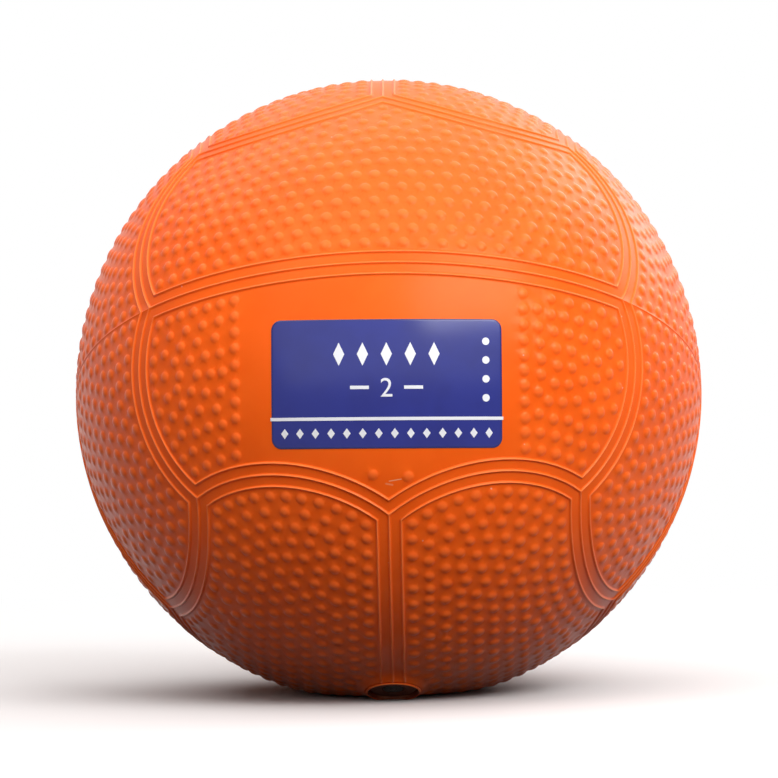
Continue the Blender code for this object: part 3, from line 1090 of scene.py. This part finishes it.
@dataclass(frozen=True)
class MarkRow:
    """A row of equal marks, in millimetres from the label's middle."""

    shape: MarkShape
    count: int
    middle: tuple[float, float]
    step: tuple[float, float]
    size: tuple[float, float]

    def outlines(self) -> list[np.ndarray]:
        """Return each mark's flat outline in metres.

        Returns:
            One outline for each mark, placed from the label's middle.
        """
        mark = self.shape.outline(self.size)
        shares = np.arange(self.count) - (self.count - 1) / 2
        return [(mark + self.middle + share * np.array(self.step)) * MM for share in shares]


@dataclass
class TransferLabel:
    """The printed film on the smooth field: a blue ground, a white stripe and plain marks."""

    ball: Ball
    width: float = 52.4 * MM
    height: float = 28.9 * MM
    corner_radius: float = 2.3 * MM
    corner_steps: int = 8
    drop: float = math.radians(21.25)
    slant: float = math.radians(0.67)
    film_foot: float = 0.01 * MM
    film_top: float = 0.10 * MM
    print_foot: float = 0.08 * MM
    print_top: float = 0.14 * MM
    bevel: float = 0.08 * MM
    bevel_share: float = 0.6
    rim_inset: float = 0.5 * MM
    grid_inset: float = 1.0 * MM
    edge_shade: float = 0.45 * MM
    stripe_height: float = -7.75 * MM
    stripe_width: float = 0.72 * MM
    stripe_overhang: float = 0.22 * MM
    figure_size: float = 6.0 * MM
    figure_height: float = -0.8 * MM
    pitch: float = 1.2 * MM
    mark_rows: tuple[MarkRow, ...] = (
        MarkRow(MarkShape.DIAMOND, 5, (0.0, 6.6), (5.3, 0.0), (2.5, 5.2)),
        MarkRow(MarkShape.BAR, 2, (0.0, -0.8), (12.0, 0.0), (4.2, 0.75)),
        MarkRow(MarkShape.DIAMOND, 14, (0.0, -11.0), (3.55, 0.0), (1.7, 2.3)),
        MarkRow(MarkShape.DOT, 4, (22.4, 3.1), (0.0, -4.2), (1.7, 1.7)),
    )

    @property
    def corner_middle(self) -> np.ndarray:
        """Return the middle of the upper right corner's rounding."""
        return np.array((self.width, self.height)) / 2 - self.corner_radius

    def wrapped(self, flat: np.ndarray, lift: float | np.ndarray) -> np.ndarray:
        """Lay flat label coordinates on the ball.

        Args:
            flat: Distances right and up from the label's middle.
            lift: Height over the skin, one for all points or one for each.

        Returns:
            Points in the frame.
        """
        level = flat @ np.array(Matrix.Rotation(self.slant, 2))
        side, rise = np.sin(level / self.ball.radius).T
        facing = np.stack([side, -np.sqrt(1.0 - side**2 - rise**2), rise], axis=1)
        turn = np.array(Matrix.Rotation(self.drop, 3, "X"))
        radius = self.ball.radius + np.broadcast_to(lift, len(flat))
        return self.ball.placed(facing @ turn.T * radius[:, None])

    def rounded_outline(self, inset: float) -> np.ndarray:
        """Return the label's outline with round corners, moved inwards by an inset.

        Args:
            inset: How far inside the label's edge the outline runs.

        Returns:
            Flat points, anticlockwise from the upper end of the right edge.
        """
        radius = self.corner_radius - inset
        points = []
        for quarter, signs in enumerate(((1, 1), (-1, 1), (-1, -1), (1, -1))):
            for step in range(self.corner_steps + 1):
                turn = math.pi / 2 * (quarter + step / self.corner_steps)
                middle = self.corner_middle * signs
                points.append(middle + radius * np.array((math.cos(turn), math.sin(turn))))
        return np.array(self.divided(points))

    def divided(self, corners: list[np.ndarray]) -> list[np.ndarray]:
        """Add points along the long stretches of a closed outline.

        Args:
            corners: The outline's corners in order.

        Returns:
            The corners with points between them, about a pitch apart.
        """
        points = []
        for index, corner in enumerate(corners):
            following = corners[(index + 1) % len(corners)]
            count = max(1, round(float(np.linalg.norm(following - corner)) / self.pitch))
            points += [corner + (following - corner) * step / count for step in range(count)]
        return points

    def grid(self) -> np.ndarray:
        """Return an even grid of flat points within the label.

        Returns:
            Distances right and up from the label's middle.
        """
        axes = []
        for half in (self.width / 2 - self.grid_inset, self.height / 2 - self.grid_inset):
            axes.append(np.arange(-half, half, self.pitch))
        return np.stack(np.meshgrid(*axes), axis=-1).reshape(-1, 2)

    def film(self) -> bpy.types.Object:
        """Build the blue film with a soft edge, in place of the plain one.

        Returns:
            The film's object, with a value that darkens its edge.
        """
        rings = [self.rounded_outline(inset) for inset in (0.0, self.bevel, self.rim_inset)]
        count = len(rings[0])
        edges = [edge for index in range(len(rings)) for edge in ring_edges(index * count, count)]
        places, triangles = triangulate(np.concatenate([*rings, self.grid()]), edges)
        beyond = np.clip(np.abs(places) - self.corner_middle, 0.0, None)
        margin = self.corner_radius - np.linalg.norm(beyond, axis=1)
        drop = (self.film_top - self.film_foot) * self.bevel_share
        top = self.film_top - drop * np.clip(1.0 - margin / self.bevel, 0.0, 1.0)
        film = sheet_object("label_print", *self.faces(places, top, self.film_foot), triangles)
        edge = film.data.attributes.new(EDGE, "FLOAT", "POINT")
        shade = np.clip(1.0 - margin / self.edge_shade, 0.0, 1.0)
        edge.data.foreach_set("value", np.concatenate([shade, shade]))
        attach(film, BODY)
        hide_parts("label_film")
        return film

    def faces(
        self, places: np.ndarray, top: float | np.ndarray, foot: float
    ) -> tuple[np.ndarray, np.ndarray]:
        """Return flat places laid on the ball at two heights over the skin.

        Args:
            places: Distances right and up from the label's middle.
            top: Height of the upper face, one for all places or one for each.
            foot: Height of the lower face.

        Returns:
            The points of the upper face and those of the lower one.
        """
        return self.wrapped(places, top), self.wrapped(places, foot)

    def printed(self, name: str, places: np.ndarray, triangles: np.ndarray) -> bpy.types.Object:
        """Build raised white print from its flat places and triangles.

        Args:
            name: The piece's name.
            places: Distances right and up from the label's middle.
            triangles: The triangles that join them.

        Returns:
            The print as an object.
        """
        faces = self.faces(places, self.print_top, self.print_foot)
        piece = sheet_object(name, *faces, triangles)
        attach(piece, BODY)
        return piece

    def outlined(self, name: str, outlines: list[np.ndarray]) -> bpy.types.Object:
        """Build raised white print from closed flat outlines that don't touch each other.

        Args:
            name: The piece's name.
            outlines: The outlines, each as its corners in order.

        Returns:
            The print as an object.
        """
        places, triangles, total = [], [], 0
        for outline in outlines:
            corners = self.divided(list(outline))
            found, filled = triangulate(np.array(corners), ring_edges(0, len(corners)))
            places.append(found)
            triangles.append(filled + total)
            total += len(found)
        return self.printed(name, np.concatenate(places), np.concatenate(triangles))

    def stripe(self) -> bpy.types.Object:
        """Build the white stripe that crosses the whole label and ends just past its edges.

        Returns:
            The stripe as an object.
        """
        half, rise = self.width / 2 + self.stripe_overhang, self.stripe_width / 2
        corners = [(-half, -rise), (half, -rise), (half, rise), (-half, rise)]
        return self.outlined("label_stripe", [np.array(corners) + (0.0, self.stripe_height)])

    def marks(self) -> bpy.types.Object:
        """Build the plain marks: two rows of diamonds, bars beside the figure and a row of dots."""
        return self.outlined("label_marks", [mark for row in self.mark_rows for mark in row.outlines()])

    def figure(self) -> bpy.types.Object:
        """Build the plain figure two in the middle of the label.

        Returns:
            The figure as an object.
        """
        curve = bpy.data.curves.new("figure_two", "FONT")
        curve.body = "2"
        curve.size = self.figure_size
        holder = new_object("figure_two", curve)
        bpy.context.view_layer.update()
        evaluated = holder.evaluated_get(bpy.context.evaluated_depsgraph_get())
        flat_mesh = bpy.data.meshes.new_from_object(evaluated)
        bpy.data.objects.remove(holder)
        shape = bmesh.new()
        shape.from_mesh(flat_mesh)
        bmesh.ops.remove_doubles(shape, verts=shape.verts, dist=FIGURE_JOIN)
        bmesh.ops.triangulate(shape, faces=shape.faces)
        places = np.array([vert.co[:2] for vert in shape.verts])
        triangles = np.array([[vert.index for vert in face.verts] for face in shape.faces])
        shape.free()
        places += np.array((0.0, self.figure_height)) - (places.min(0) + places.max(0)) / 2
        return self.printed("label_figure", places, triangles)


def sheet_object(name: str, top: np.ndarray, foot: np.ndarray, triangles: np.ndarray) -> bpy.types.Object:
    """Close a thin sheet: its top, the same faces below, and walls round every border.

    Args:
        name: The piece's name.
        top: Points of the upper face.
        foot: The same points on the lower face.
        triangles: The upper face's triangles.

    Returns:
        The sheet as an object.
    """
    count = len(top)
    sides = np.concatenate([triangles[:, [0, 1]], triangles[:, [1, 2]], triangles[:, [2, 0]]])
    known = {tuple(side) for side in sides.tolist()}
    border = [side for side in known if side[::-1] not in known]
    faces = triangles.tolist() + (triangles[:, ::-1] + count).tolist()
    faces += [(second, first, first + count, second + count) for first, second in sorted(border)]
    mesh = bpy.data.meshes.new(name)
    mesh.from_pydata(np.concatenate([top, foot]).tolist(), [], faces)
    mesh.shade_smooth()
    mesh.set_sharp_from_angle(angle=SHARP_ANGLE)
    return new_object(name, mesh)


class Draft:
    """Adds nodes to a shader tree and wires them."""

    def __init__(self, tree: bpy.types.NodeTree) -> None:
        """Keep the tree that the nodes go to."""
        self.tree = tree

    def add(self, kind: str, **settings: object) -> bpy.types.Node:
        """Add a node of a kind and set its properties.

        Args:
            kind: The node's type.
            **settings: The properties to set, by name.

        Returns:
            The new node.
        """
        node = self.tree.nodes.new(kind)
        for name, value in settings.items():
            setattr(node, name, value)
        return node

    def wire(self, source: bpy.types.NodeSocket, target: bpy.types.NodeSocket) -> None:
        """Link one socket to another."""
        self.tree.links.new(source, target)

    def feed(self, target: bpy.types.NodeSocket, value: object) -> None:
        """Link a socket or set a plain value on an input.

        Args:
            target: The input.
            value: A socket or a plain value.
        """
        if isinstance(value, bpy.types.NodeSocket):
            self.wire(value, target)
        else:
            target.default_value = value

    def maths(
        self, operation: str, first: object, second: object = 0.0, clamp: bool = False
    ) -> bpy.types.NodeSocket:
        """Return the result of a maths node on two values or sockets.

        Args:
            operation: What the node works out, as it names it.
            first: The first value or socket.
            second: The second value or socket.
            clamp: Whether the result is held between 0 and 1.

        Returns:
            The socket with the result.
        """
        node = self.add("ShaderNodeMath", operation=operation, use_clamp=clamp)
        self.feed(node.inputs[0], first)
        self.feed(node.inputs[1], second)
        return node.outputs[0]

    def blend(self, share: object, first: object, second: object) -> bpy.types.NodeSocket:
        """Return a mix of two colours by a share from 0 to 1.

        Args:
            share: How much of the second colour shows, as a value or socket.
            first: The first colour or its socket.
            second: The second colour or its socket.

        Returns:
            The socket with the mixed colour.
        """
        node = self.add("ShaderNodeMix", data_type="RGBA")
        self.feed(node.inputs[0], share)
        for index, colour in zip(MIX_COLOURS, (first, second)):
            self.feed(node.inputs[index], colour)
        return node.outputs[MIX_RESULT]

    def vectors(
        self, operation: str, first: object, second: object, output: str = "Vector"
    ) -> bpy.types.NodeSocket:
        """Return an output of a vector maths node on two values or sockets.

        Args:
            operation: What the node works out, as it names it.
            first: The first vector or socket.
            second: The second vector or socket.
            output: The name of the output to return.

        Returns:
            The socket of that output.
        """
        node = self.add("ShaderNodeVectorMath", operation=operation)
        self.feed(node.inputs[0], first)
        self.feed(node.inputs[1], second)
        return node.outputs[output]

    def ramp(self, value: object, low: float, high: float) -> bpy.types.NodeSocket:
        """Return how far a value is from low to high, held between 0 and 1.

        Args:
            value: The value or socket.
            low: The value that gives 0.
            high: The value that gives 1.

        Returns:
            The socket with the result, which starts and ends smoothly.
        """
        node = self.add("ShaderNodeMapRange", interpolation_type="SMOOTHSTEP")
        self.feed(node.inputs["Value"], value)
        node.inputs["From Min"].default_value = low
        node.inputs["From Max"].default_value = high
        return node.outputs["Result"]

    def cells(self, vector: bpy.types.NodeSocket, scale: float) -> bpy.types.Node:
        """Add a texture of cells, each about a point, at a scale in cells for each metre.

        Args:
            vector: The socket with the place.
            scale: The number of cells for each metre.

        Returns:
            The texture's node.
        """
        node = self.add("ShaderNodeTexVoronoi", feature="F1")
        node.inputs["Scale"].default_value = scale
        self.wire(vector, node.inputs["Vector"])
        return node

    def channels(self, colour: bpy.types.NodeSocket) -> list[bpy.types.NodeSocket]:
        """Return a colour's red, green and blue.

        Args:
            colour: The socket with the colour.

        Returns:
            The sockets of the three channels.
        """
        node = self.add("ShaderNodeSeparateColor")
        self.wire(colour, node.inputs[0])
        return list(node.outputs)

    def bump(self, height: bpy.types.NodeSocket, depth: float, invert: bool = False) -> bpy.types.NodeSocket:
        """Return the normal of a surface raised by a height from 0 to 1 times a depth.

        Args:
            height: The socket with the height.
            depth: How far a height of 1 stands out.
            invert: Whether it goes in instead.

        Returns:
            The socket with the normal.
        """
        node = self.add("ShaderNodeBump", invert=invert)
        node.inputs["Distance"].default_value = depth
        self.wire(height, node.inputs["Height"])
        return node.outputs["Normal"]

    def place(self) -> bpy.types.NodeSocket:
        """Return the place on the object, which is its place in the frame."""
        return self.add("ShaderNodeTexCoord").outputs["Object"]

    def noise(self, vector: object, scale: object, detail: float) -> bpy.types.NodeSocket:
        """Return soft noise about 0.5 at a scale in turns for each metre.

        Args:
            vector: The place, as a value or socket.
            scale: The number of turns for each metre, as a value or socket.
            detail: The number of finer layers.

        Returns:
            The socket with the noise.
        """
        node = self.add("ShaderNodeTexNoise")
        self.feed(node.inputs["Vector"], vector)
        self.feed(node.inputs["Scale"], scale)
        node.inputs["Detail"].default_value = detail
        return node.outputs["Fac"]


@dataclass(frozen=True)
class MouldedSurface:
    """The effect that moulded and printed surfaces share: mottling, smudges, dust and grain."""

    mottle_edges: tuple[float, float] = (0.35, 0.65)
    mottle_detail: float = 4.0
    smudge_edges: tuple[float, float] = (0.42, 0.70)
    smudge_detail: float = 3.0
    speck_scale: float = 260.0
    speck_edges: tuple[float, float] = (0.065, 0.03)
    speck_rarity: float = 0.90
    grain_detail: float = 3.0

    def group(self) -> bpy.types.ShaderNodeTree:
        """Build the node group.

        Returns:
            A group that gives mottling, handling smudges, dust specks and fine grain by place.
        """
        group = bpy.data.node_groups.new("moulded_surface", "ShaderNodeTree")
        face = group.interface
        face.new_socket("Vector", in_out="INPUT", socket_type="NodeSocketVector")
        for name, value in (("Mottle Scale", 60.0), ("Smudge Scale", 25.0), ("Grain Scale", 4000.0)):
            face.new_socket(name, in_out="INPUT", socket_type="NodeSocketFloat").default_value = value
        for name in ("Mottle", "Smudge", "Dust", "Grain"):
            face.new_socket(name, in_out="OUTPUT", socket_type="NodeSocketFloat")
        draft = Draft(group)
        start, end = draft.add("NodeGroupInput"), draft.add("NodeGroupOutput")
        vector = start.outputs["Vector"]
        mottle = draft.noise(vector, start.outputs["Mottle Scale"], self.mottle_detail)
        draft.wire(draft.ramp(mottle, *self.mottle_edges), end.inputs["Mottle"])
        smudge = draft.noise(vector, start.outputs["Smudge Scale"], self.smudge_detail)
        draft.wire(draft.ramp(smudge, *self.smudge_edges), end.inputs["Smudge"])
        specks = draft.cells(vector, self.speck_scale)
        near = draft.ramp(specks.outputs["Distance"], *self.speck_edges)
        chosen = draft.channels(specks.outputs["Color"])
        rare = draft.maths("GREATER_THAN", chosen[0], self.speck_rarity)
        draft.wire(draft.maths("MULTIPLY", near, rare), end.inputs["Dust"])
        grain = draft.noise(vector, start.outputs["Grain Scale"], self.grain_detail)
        draft.wire(grain, end.inputs["Grain"])
        return group


def scratch_group() -> bpy.types.ShaderNodeTree:
    """Build the node group for a short straight scratch.

    Returns:
        A group that gives 1 along the line from Start to End and 0 beyond Width from it.
    """
    group = bpy.data.node_groups.new("scratch", "ShaderNodeTree")
    for name in ("Vector", "Start", "End"):
        group.interface.new_socket(name, in_out="INPUT", socket_type="NodeSocketVector")
    group.interface.new_socket("Width", in_out="INPUT", socket_type="NodeSocketFloat")
    group.interface.new_socket("Mask", in_out="OUTPUT", socket_type="NodeSocketFloat")
    draft = Draft(group)
    start, end = draft.add("NodeGroupInput"), draft.add("NodeGroupOutput")
    away = draft.vectors("SUBTRACT", start.outputs["Vector"], start.outputs["Start"])
    line = draft.vectors("SUBTRACT", start.outputs["End"], start.outputs["Start"])
    along = draft.vectors("DOT_PRODUCT", away, line, "Value")
    share = draft.maths("DIVIDE", along, draft.vectors("DOT_PRODUCT", line, line, "Value"), clamp=True)
    nearest = draft.vectors("MULTIPLY", line, share)
    gap = draft.vectors("DISTANCE", away, nearest, "Value")
    faded = draft.maths("DIVIDE", gap, start.outputs["Width"])
    draft.wire(draft.ramp(faded, *SCRATCH_EDGES), end.inputs["Mask"])
    return group


def new_material(name: str) -> tuple[bpy.types.Material, Draft, bpy.types.Node]:
    """Make a node material, and return it with a draft for its nodes and its shader.

    Args:
        name: The material's name.

    Returns:
        The material, the draft and the shader.
    """
    material = bpy.data.materials.new(name)
    material.use_nodes = True
    return material, Draft(material.node_tree), material.node_tree.nodes["Principled BSDF"]


@dataclass(frozen=True)
class Trim:
    """A second colour laid on by a point value; a negative share follows values below 0."""

    attribute: str
    colour: tuple[float, float, float]
    share: float = 1.0


@dataclass(frozen=True)
class SurfaceFinish:
    """A moulded or printed surface: two shades, gloss, grain, smudges and a little dust."""

    name: str
    colour: tuple[float, float, float]
    shade: tuple[float, float, float]
    roughness: float
    smudged_roughness: float
    grain_height: float = 0.01 * MM
    grain_scale: float = 4000.0
    mottle_scale: float = 60.0
    dust: float = 0.0
    specular: float = 0.3
    specular_tint: tuple[float, float, float] = (1.0, 1.0, 1.0)
    subsurface: float = 0.0
    subsurface_radius: tuple[float, float, float] = (1.0, 0.3, 0.1)
    subsurface_scale: float = 1.5 * MM
    trims: tuple[Trim, ...] = ()
    dust_colour: tuple[float, float, float] = (0.75, 0.62, 0.52)
    scratch_colour: tuple[float, float, float] = (0.80, 0.42, 0.24)

    def scratched(
        self, draft: Draft, colour: object, vector: object, scratches: list[Scratch]
    ) -> bpy.types.NodeSocket:
        """Return the colour with pale scratches laid over it.

        Args:
            draft: The draft for the material's nodes.
            colour: The socket with the colour.
            vector: The socket with the place.
            scratches: The scratches to lay over it.

        Returns:
            The socket with the scratched colour.
        """
        group = scratch_group()
        for scratch in scratches:
            node = draft.add("ShaderNodeGroup", node_tree=group)
            draft.wire(vector, node.inputs["Vector"])
            node.inputs["Start"].default_value = scratch.start
            node.inputs["End"].default_value = scratch.end
            node.inputs["Width"].default_value = scratch.width
            amount = draft.maths("MULTIPLY", node.outputs["Mask"], scratch.strength)
            colour = draft.blend(amount, colour, (*self.scratch_colour, 1.0))
        return colour

    def material(
        self, group: bpy.types.ShaderNodeTree, scratches: list[Scratch] | None = None
    ) -> bpy.types.Material:
        """Build the finish's material round the shared surface group.

        Args:
            group: The shared surface group.
            scratches: Scratches to lay over the colour, or None.

        Returns:
            The material.
        """
        material, draft, shader = new_material(self.name)
        surface = draft.add("ShaderNodeGroup", node_tree=group)
        place = draft.place()
        draft.wire(place, surface.inputs["Vector"])
        surface.inputs["Mottle Scale"].default_value = self.mottle_scale
        surface.inputs["Grain Scale"].default_value = self.grain_scale
        colour = draft.blend(surface.outputs["Mottle"], (*self.shade, 1.0), (*self.colour, 1.0))
        for trim in self.trims:
            value = draft.add("ShaderNodeAttribute", attribute_name=trim.attribute)
            amount = draft.maths("MULTIPLY", value.outputs["Fac"], trim.share, clamp=True)
            colour = draft.blend(amount, colour, (*trim.colour, 1.0))
        if self.dust:
            amount = draft.maths("MULTIPLY", surface.outputs["Dust"], self.dust)
            colour = draft.blend(amount, colour, (*self.dust_colour, 1.0))
        if scratches:
            colour = self.scratched(draft, colour, place, scratches)
        draft.wire(colour, shader.inputs["Base Color"])
        change = self.smudged_roughness - self.roughness
        smudge = draft.maths("MULTIPLY", surface.outputs["Smudge"], change)
        draft.wire(draft.maths("ADD", smudge, self.roughness), shader.inputs["Roughness"])
        draft.wire(draft.bump(surface.outputs["Grain"], self.grain_height), shader.inputs["Normal"])
        shader.inputs["Specular IOR Level"].default_value = self.specular
        shader.inputs["Specular Tint"].default_value = (*self.specular_tint, 1.0)
        shader.inputs["Subsurface Weight"].default_value = self.subsurface
        shader.inputs["Subsurface Radius"].default_value = self.subsurface_radius
        shader.inputs["Subsurface Scale"].default_value = self.subsurface_scale
        return material


ORANGE_VINYL = SurfaceFinish(
    name="orange_vinyl",
    colour=(0.90, 0.122, 0.007),
    shade=(0.86, 0.110, 0.005),
    roughness=0.30,
    smudged_roughness=0.38,
    dust=0.5,
    specular=0.19,
    specular_tint=(1.0, 0.84, 0.58),
    # The first trim is a painted highlight on crests, the second painted shade in the boss's recess.
    trims=(Trim(PAINTED_LIGHT_ATTRIBUTE, (0.98, 0.27, 0.08), 0.6), Trim(PAINTED_LIGHT_ATTRIBUTE, (0.06, 0.012, 0.006), -0.9)),
    subsurface=0.15,
    subsurface_radius=(1.0, 0.22, 0.06),
)
PLUG_VINYL = SurfaceFinish(
    name="plug_vinyl",
    colour=(0.17, 0.035, 0.012),
    shade=(0.11, 0.022, 0.008),
    roughness=0.42,
    smudged_roughness=0.55,
    grain_height=0.02 * MM,
    dust=0.4,
)
VALVE_RUBBER = SurfaceFinish(
    name="valve_rubber",
    colour=(0.035, 0.022, 0.018),
    shade=(0.022, 0.016, 0.014),
    roughness=0.55,
    smudged_roughness=0.70,
    grain_height=0.03 * MM,
)
LABEL_BLUE = SurfaceFinish(
    name="label_blue",
    colour=(0.010, 0.018, 0.215),
    shade=(0.008, 0.014, 0.185),
    roughness=0.20,
    smudged_roughness=0.27,
    grain_height=0.004 * MM,
    mottle_scale=90.0,
    specular=0.38,
    trims=(Trim(EDGE, (0.003, 0.005, 0.065)),),
)
LABEL_WHITE = SurfaceFinish(
    name="label_white",
    colour=(0.82, 0.86, 0.90),
    shade=(0.76, 0.80, 0.86),
    roughness=0.30,
    smudged_roughness=0.36,
    grain_height=0.004 * MM,
)


@dataclass(frozen=True)
class GritFinish:
    """Loose dark iron grit: grains of uneven tone with rusty ones among them."""

    name: str = "iron_grit"
    dark: tuple[float, float, float] = (0.035, 0.032, 0.030)
    light: tuple[float, float, float] = (0.20, 0.18, 0.165)
    rust: tuple[float, float, float] = (0.22, 0.085, 0.035)
    rust_rarity: float = 0.86
    roughness_edges: tuple[float, float] = (-1.0, 2.0)
    grain_scale: float = 900.0
    grain_height: float = 0.5 * MM

    def material(self) -> bpy.types.Material:
        """Build the grit's material.

        Returns:
            The material, with a tone for each grain.
        """
        material, draft, shader = new_material(self.name)
        grains = draft.cells(draft.place(), self.grain_scale)
        red, green, blue = draft.channels(grains.outputs["Color"])
        colour = draft.blend(red, (*self.dark, 1.0), (*self.light, 1.0))
        rusty = draft.maths("GREATER_THAN", green, self.rust_rarity)
        draft.wire(draft.blend(rusty, colour, (*self.rust, 1.0)), shader.inputs["Base Color"])
        draft.wire(draft.ramp(blue, *self.roughness_edges), shader.inputs["Roughness"])
        normal = draft.bump(grains.outputs["Distance"], self.grain_height, invert=True)
        draft.wire(normal, shader.inputs["Normal"])
        return material


@dataclass(frozen=True)
class Lamp:
    """A soft area lamp that faces the ball.

    The azimuth is 0 on the camera's side and the elevation is its height over the ball's middle,
    both in degrees. The size is its width and height, and a glow of 1 is white.
    """

    name: str
    azimuth: float
    elevation: float
    distance: float
    size: tuple[float, float]
    glow: float

    def hang(self, centre: Vector) -> None:
        """Hang the lamp round the point that it faces.

        Args:
            centre: The point that it faces.
        """
        data = bpy.data.lights.new(self.name, "AREA")
        data.shape = "RECTANGLE"
        data.size, data.size_y = self.size
        data.energy = self.glow * math.pi * self.size[0] * self.size[1]
        lamp = new_object(self.name, data)
        around, above = math.radians(self.azimuth), math.radians(self.elevation)
        level = math.cos(above)
        back = Vector((math.sin(around) * level, -math.cos(around) * level, math.sin(above)))
        lamp.location = centre + back * self.distance
        lamp.rotation_mode = "QUATERNION"
        lamp.rotation_quaternion = (-back).to_track_quat("-Z", "Y")
        lamp.visible_camera = False


@dataclass
class Studio:
    """The floor, the soft light and the camera."""

    ball: Ball
    image_width: int = 778
    ball_place: tuple[float, float] = (388.6, 392.1)
    camera_distance: float = 900.0 * MM
    camera_yaw: float = math.radians(-0.33)
    camera_roll: float = math.radians(-1.04)
    camera_clip: tuple[float, float] = (0.01, 100.0)
    focal_pixels: float = 3725.0
    sensor: float = 36.0
    floor_size: float = 24.0
    floor_gap: float = 0.02 * MM
    floor_pale: float = 0.68
    floor_dark: tuple[float, float, float] = (0.03, 0.010, 0.005)
    floor_roughness: float = 0.9
    glow_start: float = 0.14
    glow_end: float = 0.45
    ambient: tuple[float, float, float] = (0.15, 0.08, 0.06)
    lamps: tuple[Lamp, ...] = (
        Lamp("front_soft", 2.0, 38.0, 1.6, (3.0, 2.2), 1.08),
        Lamp("top_soft", 0.0, 88.0, 1.5, (3.0, 2.4), 1.68),
        Lamp("right_window", 35.0, 34.0, 1.5, (1.05, 0.58), 8.4),
        Lamp("rear_window", 130.0, 32.0, 1.6, (1.4, 1.0), 2.5),
    )

    def camera(self) -> None:
        """Set the camera level with the ball's middle, where the photograph was taken from."""
        data = bpy.data.cameras.new("front_camera")
        data.sensor_width = self.sensor
        data.lens = self.sensor * self.focal_pixels / self.image_width
        middle = self.image_width / 2
        data.shift_x = (middle - self.ball_place[0]) / self.image_width
        data.shift_y = (self.ball_place[1] - middle) / self.image_width
        data.clip_start, data.clip_end = self.camera_clip
        camera = new_object("front_camera", data)
        turn = Matrix.Rotation(-self.camera_yaw, 4, "Z") @ Matrix.Rotation(-self.camera_roll, 4, "Y")
        stand = Matrix.Translation((0.0, -self.camera_distance, 0.0)) @ Matrix.Rotation(math.pi / 2, 4, "X")
        camera.matrix_world = Matrix.Translation(self.ball.centre) @ turn @ stand
        bpy.context.scene.camera = camera

    def floor(self) -> None:
        """Lay the pale floor that the ball stands on."""
        half = self.floor_size / 2
        mesh = bpy.data.meshes.new("floor")
        corners = [(-half, -half, 0.0), (half, -half, 0.0), (half, half, 0.0), (-half, half, 0.0)]
        mesh.from_pydata(corners, [], [(0, 1, 2, 3)])
        mesh.materials.append(self.floor_material())
        floor = new_object("floor", mesh)
        floor.location.z = -self.floor_gap

    @staticmethod
    def seen(draft: Draft) -> bpy.types.NodeSocket:
        """Return 1 for rays that show a surface, straight, in gloss or through glass, else 0.

        Args:
            draft: The draft for the nodes of the material or the world.

        Returns:
            The socket with the 1 or 0.
        """
        rays = draft.add("ShaderNodeLightPath")
        shown = draft.maths("ADD", rays.outputs["Is Camera Ray"], rays.outputs["Is Glossy Ray"])
        return draft.maths("ADD", shown, rays.outputs["Is Transmission Ray"], clamp=True)

    def floor_material(self) -> bpy.types.Material:
        """Build the floor's material: white where it is seen and dim where it throws light back.

        Returns:
            A material whose glow takes over from the lamps' light away from the ball.
        """
        material, draft, shader = new_material("floor")
        seen = self.seen(draft)
        length = draft.add("ShaderNodeVectorMath", operation="LENGTH")
        draft.wire(draft.place(), length.inputs[0])
        far = draft.ramp(length.outputs["Value"], self.glow_start, self.glow_end)
        pale = (self.floor_pale,) * 3
        near_colour = draft.blend(seen, (*self.floor_dark, 1.0), (*pale, 1.0))
        glowing = draft.maths("MULTIPLY", far, seen)
        draft.wire(draft.blend(glowing, near_colour, BLACK), shader.inputs["Base Color"])
        draft.wire(draft.blend(glowing, BLACK, WHITE), shader.inputs["Emission Color"])
        shader.inputs["Emission Strength"].default_value = 1.0
        shader.inputs["Roughness"].default_value = self.floor_roughness
        shader.inputs["Specular IOR Level"].default_value = 0.0
        return material

    def world(self) -> None:
        """Surround the scene with white that is seen at full strength and lights at a lower one."""
        world = bpy.data.worlds.new("studio")
        world.use_nodes = True
        draft = Draft(world.node_tree)
        background = world.node_tree.nodes["Background"]
        colour = draft.blend(self.seen(draft), (*self.ambient, 1.0), WHITE)
        draft.wire(colour, background.inputs["Color"])
        background.inputs["Strength"].default_value = 1.0
        bpy.context.scene.world = world

    def build(self) -> None:
        """Set up the camera, floor, world and lamps."""
        self.camera()
        self.floor()
        self.world()
        for lamp in self.lamps:
            lamp.hang(self.ball.centre)
        bpy.context.scene.view_settings.view_transform = "Standard"


def dress(piece: bpy.types.Object, material: bpy.types.Material) -> None:
    """Give a piece one material in place of what it has.

    Args:
        piece: The piece.
        material: The material that it gets.
    """
    piece.data.materials.clear()
    piece.data.materials.append(material)
    LOG.info("dressed %s in %s", piece.name, material.name)


def main() -> None:
    """Build the studio and every visible piece of the ball."""
    logging.basicConfig(level=logging.INFO, format="%(message)s")
    ball = Ball()
    Studio(ball).build()
    group = MouldedSurface().group()
    skin = Skin(ball, FillerBoss())
    dress(skin.build(), ORANGE_VINYL.material(group, skin.scratches()))
    label = TransferLabel(ball)
    white = LABEL_WHITE.material(group)
    dress(label.film(), LABEL_BLUE.material(group))
    dress(label.stripe(), white)
    dress(label.marks(), white)
    dress(label.figure(), white)
    dress(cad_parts["filler_plug"], PLUG_VINYL.material(group))
    dress(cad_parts["needle_valve"], VALVE_RUBBER.material(group))
    dress(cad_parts["settled_fill"], GritFinish().material())


if __name__ == "__main__":
    main()
